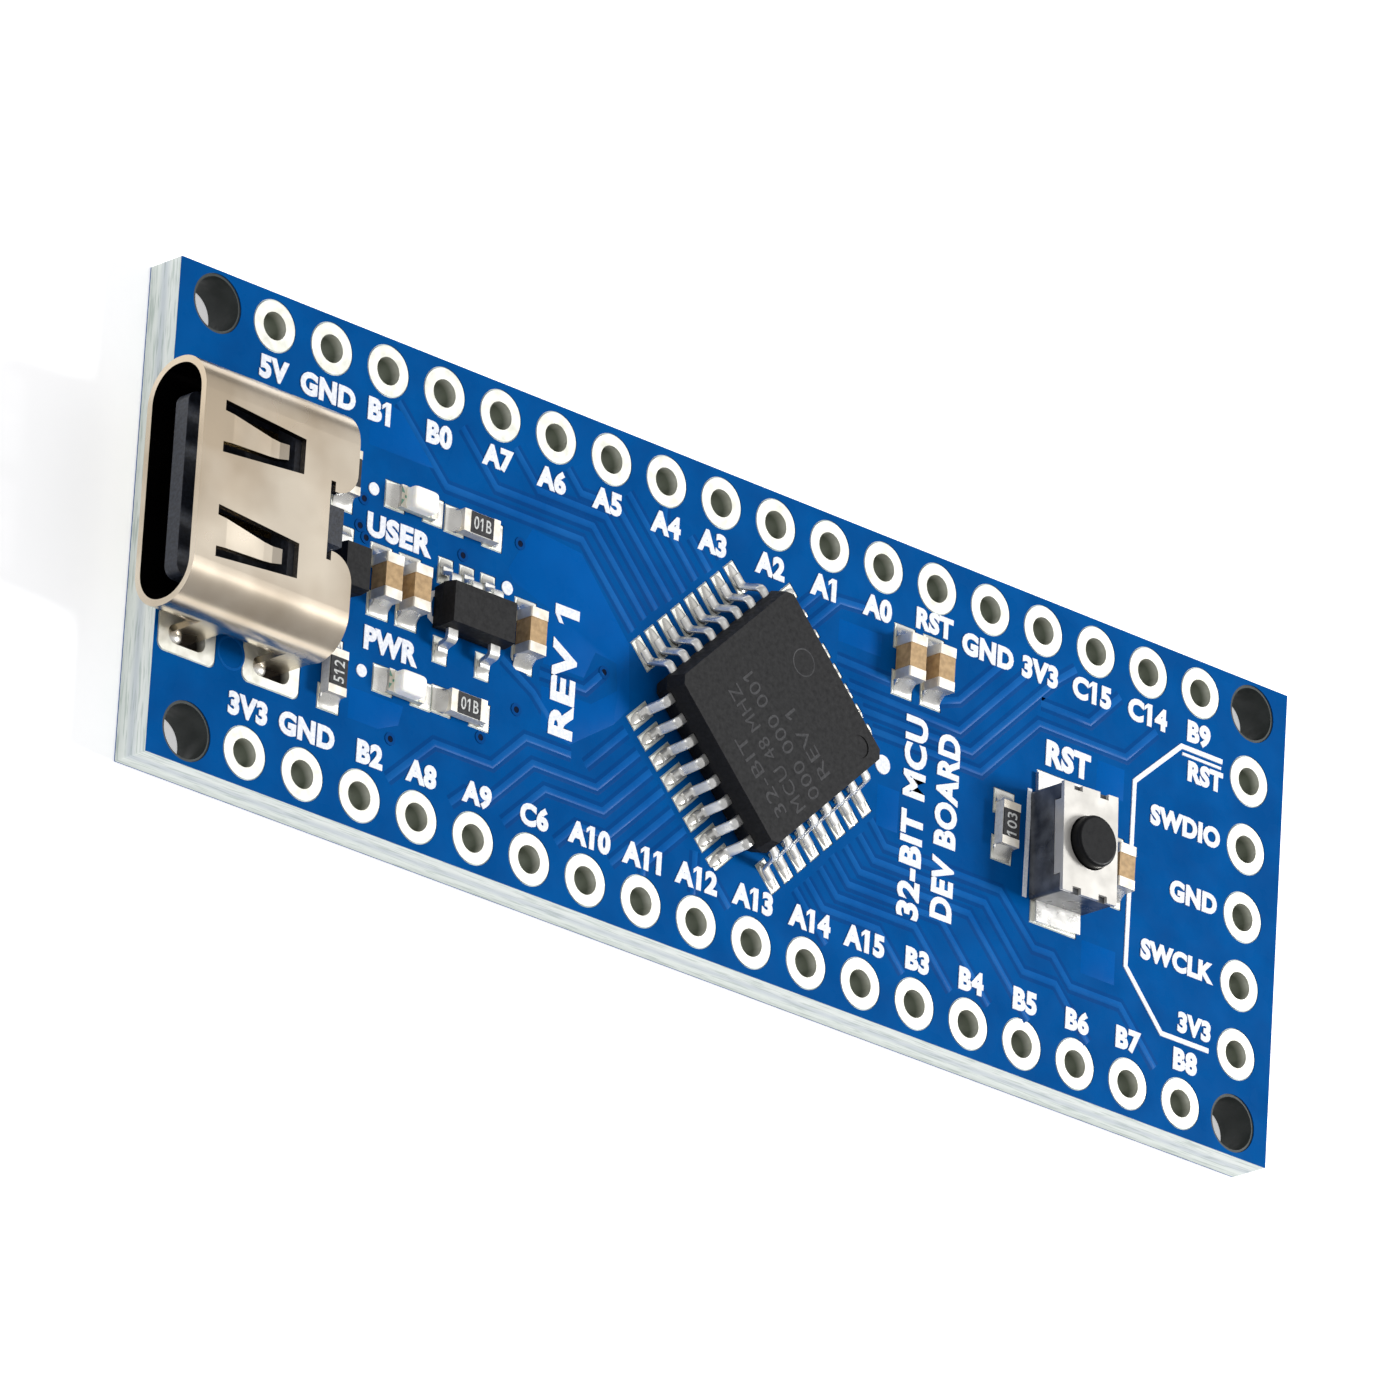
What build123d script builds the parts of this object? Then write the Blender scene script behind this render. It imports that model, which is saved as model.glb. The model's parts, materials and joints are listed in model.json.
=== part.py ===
from build123d import *
from math import cos, sin, radians
import os

# A microcontroller development board lying flat, component side up, in millimetres.
# The origin is the centre of the mounting-hole rectangle, on the board's underside.
# X runs along the board from the USB end (-X) to the debug end (+X), and +Z is up.

# Board
BOARD_L = 51.6
BOARD_W = 17.6
BOARD_T = 1.6
MASK_T = 0.04
MASK_GAP = 0.05
TOP = BOARD_T
PITCH = 2.54

# Plated header holes and plain mounting holes
ROW_PINS = 18
ROW_Y = 7.62
DEBUG_PINS = 5
DEBUG_X = 24.13
HOLE_D = 1.0
BARREL_D = 1.08
DRILL_D = 1.12
DRILL_CLEAR = 0.02
RING_D = 1.78
MOUNT_X = 24.13
MOUNT_Y = 7.62
MOUNT_D = 1.9
MOUNT_HALO = 0.1

# USB-C receptacle, built about its own middle and then set at USB_Y
USB_Y = 0.06
USB_FRONT = -26.8
USB_REAR = -20.0
USB_W = 8.82
USB_H = 2.96
USB_SHEET = 0.24
USB_CORNER = 1.43
USB_MID = TOP + USB_H / 2
USB_ABOVE = TOP + USB_H + 1
USB_NOTCH_X = -21.15
USB_NOTCH_HALF = 1.05
USB_RELIEF = (0.2, 0.35)
USB_WING_R = 0.9
USB_FLOOR_X = -23.7
USB_FLOOR_HALF = 3.3
USB_FLOOR_RISE = 0.6
TAB_Y = 1.85
TAB_FRONT = -25.9
TAB_TIP = -22.9
TAB_SLOT_END = -22.35
TAB_ROOT_HALF = 0.56
TAB_TIP_HALF = 0.26
TAB_SLOT = 0.36
TAB_DROP = 0.25
TAB_OVERLAP = 0.1
TAB_FLAT = 0.4
TAB_HEEL = 0.75
TAB_TOE = 0.35
TAB_LIFT = 0.12
TAB_BEND = 0.05
LEG_Y = USB_W / 2 - USB_SHEET / 2
LEG_X = (-24.4, -20.7)
LEG_W = 1.15
LEG_BOTTOM = 0.3
LEG_SLOT = (1.7, 0.8)
LEG_SLOT_Y = 4.48
LEG_PAD = (2.45, 1.45)
LEG_PAD_Y = 4.435
LEG_PAD_CORNER = 0.3
LEG_PLATING = 0.05
TONGUE_FRONT = -26.55
TONGUE_HALF = 3.27
TONGUE_T = 0.62
TONGUE_CORNER = 0.42
BLOCK_FRONT = -22.6
BLOCK_REAR = -21.45
BLOCK_CLEAR = 0.02
BLOCK_FOOT_TOP = TOP + 0.9
BLOCK_LIP_REAR = -20.3
BLOCK_LIP_HALF = 0.68
BLOCK_LIP_BOTTOM = TOP + 1.4
PEG_X = -23.3
PEG_Y = 2.9
PEG_D = 0.55
PEG_BOTTOM = 0.9
PEG_HOLE_CLEAR = 0.1
PLATE_HALF = 3.32
PLATE_T = 0.15
PLATE_SETBACK = 0.8
CONTACT_YS = (-2.75, -1.25, -0.75, -0.25, 0.25, 0.75, 1.25, 2.75)
CONTACT_W = 0.26
CONTACT_T = 0.12
CONTACT_BEND = 0.03
CONTACT_SETBACK = 0.6
UPPER_CONTACT = (-21.7, -20.1)
LOWER_CONTACT = (-22.2, -22.85)
SIGNAL_LAND_W = 0.3
SIGNAL_LANDS = ((-20.55, 1.1), (-22.55, 0.7))

# Microcontroller in a 32-lead quad flat pack, turned 45 degrees
MCU_X = 0.73
MCU_Y = 0.04
MCU_BODY = 7.0
MCU_H = 1.54
MCU_STANDOFF = 0.14
MCU_CORNER = 0.35
MCU_DRAFT = 14
MCU_SIDE_LEADS = 8
MCU_PITCH = 0.8
MCU_LEAD_W = 0.37
MCU_LEAD_T = 0.14
MCU_LEAD_INSIDE = 0.45
MCU_LEAD_SHOULDER = 0.32
MCU_LEAD_FOOT = 0.4
MCU_LEAD_TIP = 4.52
MCU_PAD = (3.85, 4.95, 0.5)
MCU_PADDLE = (4.6, 0.13)
MCU_DIE = (3.2, 0.3)
MCU_DIMPLE = (2.55, 0.4, 0.03)
MCU_PADDLE_DROP = 0.25
MCU_BEND = 0.08

# Five-lead regulator, leads on +Y and -Y
REG_X = -12.47
REG_Y = -0.08
REG_BODY = (2.9, 1.6, 1.1)
REG_STANDOFF = 0.03
REG_DRAFT = 8
REG_LEAD_W = 0.42
REG_LEAD_T = 0.15
REG_LEAD_LEVEL = 0.55
REG_LEAD_INSIDE = 0.35
REG_LEAD_SHOULDER = 0.36
REG_LEAD_FOOT = 0.22
REG_LEAD_TIP = 1.52
REG_BEND = 0.07
REG_PITCH = 0.95
REG_PAD = (0.98, 1.86, 0.6)

# Diode between the USB power pads and the regulator
DIODE_X = -18.02
DIODE_Y = -0.1
DIODE_BODY = (1.15, 1.6, 0.95)
DIODE_STANDOFF = 0.02
DIODE_DRAFT = 6
DIODE_LEAD = (0.6, 0.15, 1.3)
DIODE_LEAD_INSIDE = 0.3
DIODE_PAD = (0.85, 1.66, 0.95)

# Two-terminal chips: length, width, height, terminal length
CHIP_L = 1.6
CHIP_W = 0.8
CAP_H = 0.8
CAP_END = 0.36
CAP_SKIN = 0.03
CAP_EDGE = 0.06
RES_H = 0.42
RES_END = 0.3
RES_SKIN = 0.03
RES_COAT = 0.05
LED_BASE_H = 0.24
LED_LENS_L = 1.16
LED_LENS_H = 0.42
LED_DRAFT = 6
LED_EDGE = 0.07
LED_DIE = (0.26, 0.12)
CHIP_PAD = (0.85, 0.92)
CHIP_PAD_OUT = 1.28

CAPACITORS = {
    "input_capacitor_a": (-16.28, 0.1),
    "input_capacitor_b": (-15.0, 0.1),
    "output_capacitor": (-9.78, 0.13),
    "decoupling_capacitor_a": (7.5, 4.5),
    "decoupling_capacitor_b": (8.86, 4.5),
    "reset_capacitor": (17.8, -0.15),
}
RESISTORS = {
    "upper_cc_resistor": (-18.15, 3.4, 90),
    "lower_cc_resistor": (-18.15, -3.8, 90),
    "user_led_resistor": (-12.3, 3.25, 0),
    "power_led_resistor": (-12.35, -3.25, 0),
    "pull_up_resistor": (12.55, -0.05, 90),
}
LEDS = {
    "user_led": (-14.98, 3.3),
    "power_led": (-14.98, -3.3),
}

# Reset switch, set a little askew on its lands
SW_X = 15.14
SW_Y = -0.3
SW_TURN = 2.5
SW_BODY = (2.58, 3.95)
SW_BASE_BOTTOM = 0.02
SW_BASE_H = 1.53
SW_BASE_CORNER = 0.15
SW_COVER_H = 1.7
SW_COVER_T = 0.15
SW_COVER_LIP = 0.45
SW_COVER_NOTCH = (0.62, 0.2, 0.22)
SW_LIP_Y = 2.7
SW_LIP_CLEAR = 0.03
SW_CAVITY = (2.4, 0.5)
SW_HOLE_D = 1.94
SW_STEM_D = 1.84
SW_STEM_TOP = 2.1
SW_STEM_EDGE = 0.12
SW_FLANGE = (2.2, 1.24, 1.5)
SW_NUB = (0.8, 1.03)
SW_DOME = (2.14, 0.68, 0.32, 0.07)
SW_CONTACT_T = 0.16
SW_CONTACT_RING = (1.12, 0.88)
SW_CONTACT_GAP = 0.9
SW_BUTTON_CONTACT_D = 0.8
SW_BUTTON_DROP = 0.03
SW_STRIP_HALF = 0.27
SW_STRIP_OUT = 0.5
SW_TERM = (2.1, 2.72, 0.15)
SW_PAD = (2.15, 1.8, 2.78)


def block(x0, x1, y0, y1, z0, z1):
    """A box between two corners."""
    box = Box(x1 - x0, y1 - y0, z1 - z0)
    return Pos((x0 + x1) / 2, (y0 + y1) / 2, (z0 + z1) / 2) * box


def post(x, y, diameter, z0, z1):
    """An upright cylinder."""
    return Pos(x, y, (z0 + z1) / 2) * Cylinder(diameter / 2, z1 - z0)


def plate(sketch, z0, z1):
    """A flat sketch raised from z0 to z1."""
    return Pos(0, 0, z0) * extrude(sketch, z1 - z0)


def at(x, y, turn=0, z=TOP):
    """The place of a component on the board."""
    return Pos(x, y, z) * Rot(0, 0, turn)


def bent_strip(points, thickness, bend, width):
    """A strip bent along points in the XZ plane, centred on Y."""
    half = thickness / 2
    line = [Vector(x, z) for x, z in points]
    steps = [(b - a).normalized() for a, b in zip(line, line[1:])]
    sides = [[], []]
    radii = [[], []]
    for i, point in enumerate(line):
        before = steps[max(i - 1, 0)]
        after = steps[min(i, len(steps) - 1)]
        normal = Vector(-before.Y - after.Y, before.X + after.X).normalized()
        reach = half / normal.dot(Vector(-after.Y, after.X))
        sides[0].append(point + normal * reach)
        sides[1].append(point - normal * reach)
        if 0 < i < len(line) - 1:
            turns_left = before.X * after.Y - before.Y * after.X > 0
            radii[0].append(bend if turns_left else bend + thickness)
            radii[1].append(bend + thickness if turns_left else bend)
    upper = FilletPolyline(*[(p.X, p.Y) for p in sides[0]], radius=radii[0])
    lower = FilletPolyline(*[(p.X, p.Y) for p in sides[1]], radius=radii[1])
    ends = [Line(upper @ 0, lower @ 0), Line(upper @ 1, lower @ 1)]
    face = make_face([upper, lower] + ends)
    return Pos(0, width / 2, 0) * (Rot(90, 0, 0) * extrude(face, width))


# ---- where everything is on the board -------------------------------------------------

def row_points(side):
    """Header hole centres of one long row."""
    first = -(ROW_PINS - 1) / 2
    return [((first + i) * PITCH, side * ROW_Y) for i in range(ROW_PINS)]


def debug_points():
    """Debug header hole centres."""
    first = -(DEBUG_PINS - 1) / 2
    return [(DEBUG_X, (first + i) * PITCH) for i in range(DEBUG_PINS)]


def mount_points():
    return [(sx * MOUNT_X, sy * MOUNT_Y) for sx in (-1, 1) for sy in (-1, 1)]


def leg_places():
    """X and side of the four legs of the USB shell."""
    return [(x, side) for x in LEG_X for side in (-1, 1)]


def peg_points():
    """The two locating pegs under the USB insulator, about its own middle."""
    return [(PEG_X, side * PEG_Y) for side in (-1, 1)]


def peg_holes(clear):
    """Holes for the pegs, where they are on the board."""
    return Pos(0, USB_Y) * discs(peg_points(), PEG_D + 2 * clear)


def land(x, y, length, width, turn=0):
    return (x, y, length, width, turn)


def pair_of_lands(x, y, turn, inner, outer, width):
    """Two lands in line, either side of a component's centre."""
    lands = []
    for side in (-1, 1):
        reach = side * (inner + outer) / 2
        dx = reach * cos(radians(turn))
        dy = reach * sin(radians(turn))
        lands.append(land(x + dx, y + dy, outer - inner, width, turn))
    return lands


def chip_lands():
    """Lands under the capacitors, resistors and LEDs."""
    places = [(x, y, 90) for x, y in CAPACITORS.values()]
    places += list(RESISTORS.values())
    places += [(x, y, 0) for x, y in LEDS.values()]
    inner = CHIP_PAD_OUT - CHIP_PAD[0]
    lands = []
    for x, y, turn in places:
        lands += pair_of_lands(x, y, turn, inner, CHIP_PAD_OUT, CHIP_PAD[1])
    return lands


def mcu_slots():
    """Distance along the side, and the turn, of each microcontroller lead."""
    first = -(MCU_SIDE_LEADS - 1) / 2
    return [((first + i) * MCU_PITCH, 45 + 90 * side)
            for side in range(4) for i in range(MCU_SIDE_LEADS)]


def mcu_lands():
    lands = []
    middle = (MCU_PAD[0] + MCU_PAD[1]) / 2
    for along, turn in mcu_slots():
        c = cos(radians(turn))
        s = sin(radians(turn))
        x = MCU_X + middle * c - along * s
        y = MCU_Y + middle * s + along * c
        lands.append(land(x, y, MCU_PAD[1] - MCU_PAD[0], MCU_PAD[2], turn))
    return lands


def regulator_slots():
    """X offset and side of the five regulator leads: three on +Y, two on -Y."""
    return [(-1, 1), (0, 1), (1, 1), (-1, -1), (1, -1)]


def regulator_lands():
    middle = (REG_PAD[0] + REG_PAD[1]) / 2
    length = REG_PAD[1] - REG_PAD[0]
    return [land(REG_X + i * REG_PITCH, REG_Y + side * middle, length, REG_PAD[2], 90)
            for i, side in regulator_slots()]


def usb_signal_lands():
    """Two rows of contact lands, behind and under the receptacle."""
    lands = []
    for y in CONTACT_YS:
        for x, length in SIGNAL_LANDS:
            lands.append(land(x, USB_Y + y, length, SIGNAL_LAND_W))
    return lands


def switch_lands():
    return pair_of_lands(SW_X, SW_Y, 90, SW_PAD[1], SW_PAD[2], SW_PAD[0])


def diode_lands():
    return pair_of_lands(DIODE_X, DIODE_Y, 90, *DIODE_PAD)


def component_lands():
    return (chip_lands() + regulator_lands() + diode_lands() + switch_lands()
            + usb_signal_lands())


def land_sketch(lands, grow=0.0):
    """All lands as one flat sketch, each grown by the same margin."""
    faces = [Pos(x, y) * (Rot(0, 0, turn) * Rectangle(length + 2 * grow, width + 2 * grow))
             for x, y, length, width, turn in lands]
    return Sketch() + faces


def discs(points, diameter):
    return Sketch() + [Pos(x, y) * Circle(diameter / 2) for x, y in points]


def leg_pad(x, side, grow=0.0):
    outline = RectangleRounded(LEG_PAD[0] + 2 * grow, LEG_PAD[1] + 2 * grow, LEG_PAD_CORNER)
    return Pos(x, USB_Y + side * LEG_PAD_Y) * outline


def leg_slot(x, side, grow=0.0):
    radius = 0.95 * (LEG_SLOT[1] / 2 + grow)
    outline = RectangleRounded(LEG_SLOT[0] + 2 * grow, LEG_SLOT[1] + 2 * grow, radius)
    return Pos(x, USB_Y + side * LEG_SLOT_Y) * outline


def ring_points():
    return row_points(1) + row_points(-1) + debug_points()


# ---- board ----------------------------------------------------------------------------

def laminate():
    outline = Rectangle(BOARD_L, BOARD_W)
    outline -= discs(ring_points(), DRILL_D)
    outline -= discs(mount_points(), MOUNT_D)
    outline -= peg_holes(PEG_HOLE_CLEAR / 2)
    outline -= Sketch() + [leg_slot(x, side, DRILL_CLEAR) for x, side in leg_places()]
    return plate(outline, MASK_T, BOARD_T - MASK_T)


def mask_outline():
    """The lacquer outline that both faces share."""
    outline = Rectangle(BOARD_L, BOARD_W)
    outline -= discs(ring_points(), RING_D + 2 * MASK_GAP)
    outline -= discs(mount_points(), MOUNT_D + 2 * MOUNT_HALO)
    outline -= peg_holes(PEG_HOLE_CLEAR)
    outline -= Sketch() + [leg_pad(x, side, MASK_GAP) for x, side in leg_places()]
    return outline


def mask_top():
    outline = mask_outline()
    outline -= land_sketch(component_lands(), MASK_GAP)
    outline -= land_sketch(mcu_lands(), MASK_GAP)
    return plate(outline, BOARD_T - MASK_T, BOARD_T)


def mask_bottom():
    return plate(mask_outline(), 0, MASK_T)


def plated_hole(x, y):
    """A barrel with a ring on each face."""
    ring = Circle(RING_D / 2) - Circle(HOLE_D / 2)
    tube = Circle(BARREL_D / 2) - Circle(HOLE_D / 2)
    solid = plate(tube, 0, BOARD_T)
    solid += plate(ring, 0, MASK_T)
    solid += plate(ring, BOARD_T - MASK_T, BOARD_T)
    return Pos(x, y, 0) * solid


def plated_slot(x, side):
    """A slotted barrel that takes one leg of the USB shell, with a pad on each face."""
    pad = leg_pad(x, side)
    outer = leg_slot(x, side)
    inner = leg_slot(x, side, -LEG_PLATING)
    solid = plate(outer - inner, 0, BOARD_T)
    solid += plate(pad - inner, 0, MASK_T)
    solid += plate(pad - inner, BOARD_T - MASK_T, BOARD_T)
    return solid


def land_solids(lands):
    pads = []
    for x, y, length, width, turn in lands:
        pad = Box(length, width, MASK_T)
        pads.append(at(x, y, turn, TOP - MASK_T / 2) * pad)
    return pads


# ---- USB-C receptacle -----------------------------------------------------------------

def usb_section(inset, x0, x1):
    """The receptacle's rounded section, inset from the shell's outside, along X."""
    outline = RectangleRounded(USB_W - 2 * inset, USB_H - 2 * inset, USB_CORNER - inset)
    return Pos(x0, 0, USB_MID) * extrude(Plane.YZ * outline, x1 - x0)


def tab_gap(side):
    """The window of one spring tab: a tapering opening in the top plate."""
    y = side * TAB_Y
    root = TAB_ROOT_HALF + TAB_SLOT
    tip = TAB_TIP_HALF + TAB_SLOT
    outline = Polygon((TAB_FRONT, y - root), (TAB_SLOT_END, y - tip),
                      (TAB_SLOT_END, y + tip), (TAB_FRONT, y + root), align=None)
    return plate(outline, USB_MID, USB_ABOVE)


def tab(side):
    """A spring tab: fixed at the front, sloping down to a dimpled tip."""
    y = side * TAB_Y
    top = TOP + USB_H - USB_SHEET / 2
    low = top - TAB_DROP
    root = TAB_FRONT - TAB_OVERLAP
    path = [(root - TAB_OVERLAP, top), (TAB_FRONT + TAB_FLAT, top), (TAB_TIP - TAB_HEEL, low),
            (TAB_TIP - TAB_TOE, low), (TAB_TIP, low + TAB_LIFT)]
    strip = bent_strip(path, USB_SHEET, TAB_BEND, 4 * TAB_ROOT_HALF)
    plan = Polygon((root, y - TAB_ROOT_HALF), (TAB_TIP, y - TAB_TIP_HALF),
                   (TAB_TIP, y + TAB_TIP_HALF), (root, y + TAB_ROOT_HALF), align=None)
    return (Pos(0, y, 0) * strip) & plate(plan, USB_MID, USB_ABOVE)


def rear_notch():
    """The open middle of the top plate's rear edge, with relief cuts and rounded wings."""
    length = USB_REAR - USB_NOTCH_X
    cut = Pos(USB_NOTCH_X + length / 2, 0) * Rectangle(length, 2 * USB_NOTCH_HALF)
    relief = 2 * (USB_NOTCH_HALF + USB_RELIEF[1])
    cut += Pos(USB_NOTCH_X + USB_RELIEF[0] / 2, 0) * Rectangle(USB_RELIEF[0], relief)
    centre = (USB_REAR - USB_WING_R, USB_NOTCH_HALF + USB_WING_R)
    for side in (-1, 1):
        corner = Pos(USB_REAR - USB_WING_R / 2, side * (USB_NOTCH_HALF + USB_WING_R / 2))
        cut += corner * Rectangle(USB_WING_R, USB_WING_R) - (
            Pos(centre[0], side * centre[1]) * Circle(USB_WING_R))
    return plate(cut, USB_MID, USB_ABOVE)


def leg(x, side):
    """A leg from the shell's flank down into its slot."""
    y = side * LEG_Y
    outer = y - USB_SHEET / 2, y + USB_SHEET / 2
    return block(x - LEG_W / 2, x + LEG_W / 2, *outer, LEG_BOTTOM, USB_MID)


def usb_shell():
    inner = usb_section(USB_SHEET, USB_FRONT - 1, USB_REAR + 1)
    shell = usb_section(0, USB_FRONT, USB_REAR)
    for x in LEG_X:
        for side in (-1, 1):
            shell += leg(x, side)
    shell -= inner
    shell -= block(USB_FLOOR_X, USB_REAR + 1, -USB_FLOOR_HALF, USB_FLOOR_HALF, TOP - 1,
                   TOP + USB_FLOOR_RISE)
    shell -= rear_notch()
    shell -= tab_gap(-1)
    shell -= tab_gap(1)
    return shell + tab(-1) + tab(1)


def contact(y, upper):
    """A contact strip: along the tongue, down through the block and out onto its land."""
    if upper:
        level = USB_MID + TONGUE_T / 2 - CONTACT_T / 2
        drop, tail = UPPER_CONTACT
    else:
        level = USB_MID - TONGUE_T / 2 + CONTACT_T / 2
        drop, tail = LOWER_CONTACT
    path = [(TONGUE_FRONT + CONTACT_SETBACK, level), (drop, level), (drop, TOP + CONTACT_T / 2),
            (tail, TOP + CONTACT_T / 2)]
    return Pos(0, y, 0) * bent_strip(path, CONTACT_T, CONTACT_BEND, CONTACT_W)


def mid_plate():
    x0, x1 = TONGUE_FRONT + PLATE_SETBACK, BLOCK_REAR - PLATE_SETBACK
    return block(x0, x1, -PLATE_HALF, PLATE_HALF, USB_MID - PLATE_T / 2, USB_MID + PLATE_T / 2)


def usb_housing(contacts, middle):
    """The insulator: a block across the shell, with a rear lip, a tongue and two pegs."""
    body = usb_section(USB_SHEET + BLOCK_CLEAR, BLOCK_FRONT, BLOCK_REAR)
    foot = USB_FLOOR_HALF - BLOCK_CLEAR
    body += block(USB_FLOOR_X + BLOCK_CLEAR, BLOCK_REAR, -foot, foot, TOP + BLOCK_CLEAR,
                  BLOCK_FOOT_TOP)
    lip_top = TOP + USB_H - USB_SHEET - BLOCK_CLEAR
    body += block(BLOCK_FRONT, BLOCK_LIP_REAR, -BLOCK_LIP_HALF, BLOCK_LIP_HALF,
                  BLOCK_LIP_BOTTOM, lip_top)
    tongue = Pos((TONGUE_FRONT + BLOCK_FRONT) / 2, 0, USB_MID) * Box(
        BLOCK_FRONT - TONGUE_FRONT, 2 * TONGUE_HALF, TONGUE_T)
    front = tongue.faces().sort_by(Axis.X)[0]
    body += fillet(front.edges().filter_by(Axis.Z), TONGUE_CORNER)
    for x, y in peg_points():
        body += post(x, y, PEG_D, PEG_BOTTOM, BLOCK_FOOT_TOP)
    for piece in contacts + [middle]:
        body -= piece
    return body


# ---- packages -------------------------------------------------------------------------

def drafted_body(length, width, z0, z1, corner, draft):
    """A moulded body, widest at its middle height and drafted above and below it."""
    middle = (z0 + z1) / 2
    outline = RectangleRounded(length, width, corner) if corner < 0.2 else (
        chamfer(Rectangle(length, width).vertices(), corner))
    upper = Pos(0, 0, middle) * extrude(outline, z1 - middle, taper=draft)
    lower = Pos(0, 0, middle) * extrude(outline, z0 - middle, taper=draft)
    return upper + lower


def mcu_leads():
    """Thirty-two gull-wing leads, each running in under the moulding."""
    level = (MCU_STANDOFF + MCU_H) / 2
    foot = MCU_LEAD_T / 2
    side = MCU_BODY / 2
    path = [(side - MCU_LEAD_INSIDE, level), (side + MCU_LEAD_SHOULDER, level),
            (MCU_LEAD_TIP - MCU_LEAD_FOOT, foot), (MCU_LEAD_TIP, foot)]
    lead = bent_strip(path, MCU_LEAD_T, MCU_BEND, MCU_LEAD_W)
    return [Rot(0, 0, turn) * (Pos(0, along, 0) * lead) for along, turn in mcu_slots()]


def mcu():
    """Moulding, leads, paddle and die, about the package's own centre on the board."""
    paddle_z = (MCU_STANDOFF + MCU_H) / 2 - MCU_PADDLE_DROP
    turn = Rot(0, 0, 45)
    paddle = turn * block(-MCU_PADDLE[0] / 2, MCU_PADDLE[0] / 2, -MCU_PADDLE[0] / 2,
                          MCU_PADDLE[0] / 2, paddle_z, paddle_z + MCU_PADDLE[1])
    die_z = paddle_z + MCU_PADDLE[1]
    die = turn * block(-MCU_DIE[0] / 2, MCU_DIE[0] / 2, -MCU_DIE[0] / 2, MCU_DIE[0] / 2,
                       die_z, die_z + MCU_DIE[1])
    leads = mcu_leads()
    body = turn * drafted_body(MCU_BODY, MCU_BODY, MCU_STANDOFF, MCU_H, MCU_CORNER, MCU_DRAFT)
    for piece in leads + [paddle, die]:
        body -= piece
    body -= turn * post(MCU_DIMPLE[0], -MCU_DIMPLE[0], 2 * MCU_DIMPLE[1], MCU_H - MCU_DIMPLE[2],
                        MCU_H + 1)
    place = at(MCU_X, MCU_Y)
    return {
        "mcu_body": [place * body],
        "mcu_leads": [place * lead for lead in leads],
        "mcu_die_paddle": [place * paddle],
        "mcu_die": [place * die],
    }


def regulator():
    foot = REG_LEAD_T / 2
    flank = REG_BODY[1] / 2
    path = [(flank - REG_LEAD_INSIDE, REG_LEAD_LEVEL), (flank + REG_LEAD_SHOULDER, REG_LEAD_LEVEL),
            (REG_LEAD_TIP - REG_LEAD_FOOT, foot), (REG_LEAD_TIP, foot)]
    lead = bent_strip(path, REG_LEAD_T, REG_BEND, REG_LEAD_W)
    leads = []
    for i, side in regulator_slots():
        leads.append(Pos(i * REG_PITCH, 0, 0) * (Rot(0, 0, 90 * side) * lead))
    body = drafted_body(REG_BODY[0], REG_BODY[1], REG_STANDOFF, REG_BODY[2], 0.05, REG_DRAFT)
    for piece in leads:
        body -= piece
    place = at(REG_X, REG_Y)
    return {
        "regulator_body": [place * body],
        "regulator_leads": [place * piece for piece in leads],
    }


def diode():
    width, length, height = DIODE_BODY
    foot, thick, reach = DIODE_LEAD
    body = drafted_body(width, length, DIODE_STANDOFF, height, 0.05, DIODE_DRAFT)
    leads = []
    for side in (-1, 1):
        inner, outer = sorted((side * (length / 2 - DIODE_LEAD_INSIDE), side * reach))
        leads.append(block(-foot / 2, foot / 2, inner, outer, 0, thick))
    for piece in leads:
        body -= piece
    place = at(DIODE_X, DIODE_Y)
    return {
        "diode_body": [place * body],
        "diode_terminals": [place * piece for piece in leads],
    }


def capacitor(name, x, y):
    """A ceramic block with a metal cap on each end."""
    skin = CAP_SKIN
    core = block(skin - CHIP_L / 2, CHIP_L / 2 - skin, skin - CHIP_W / 2, CHIP_W / 2 - skin,
                 skin, CAP_H - skin)
    ends = []
    for side in (-1, 1):
        x0, x1 = sorted((side * CHIP_L / 2, side * (CHIP_L / 2 - CAP_END)))
        end = block(x0, x1, -CHIP_W / 2, CHIP_W / 2, 0, CAP_H)
        edges = end.edges().filter_by(Axis.X)
        ends.append(fillet(edges, CAP_EDGE) - core)
    place = at(x, y, 90)
    return {
        name + "_body": [place * core],
        name + "_terminals": [place * end for end in ends],
    }


def resistor(name, x, y, turn):
    """An alumina slip with a coated element between two wrapped terminals."""
    skin = RES_SKIN
    slip = block(skin - CHIP_L / 2, CHIP_L / 2 - skin, -CHIP_W / 2, CHIP_W / 2, skin, RES_H)
    ends = []
    for side in (-1, 1):
        x0, x1 = sorted((side * CHIP_L / 2, side * (CHIP_L / 2 - RES_END)))
        ends.append(block(x0, x1, -CHIP_W / 2, CHIP_W / 2, 0, RES_H + skin) - slip)
    inner = CHIP_L / 2 - RES_END
    edge = CHIP_W / 2 - skin
    coat = block(-inner, inner, -edge, edge, RES_H, RES_H + RES_COAT)
    place = at(x, y, turn)
    return {
        name + "_slip": [place * slip],
        name + "_coating": [place * coat],
        name + "_terminals": [place * end for end in ends],
    }


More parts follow.
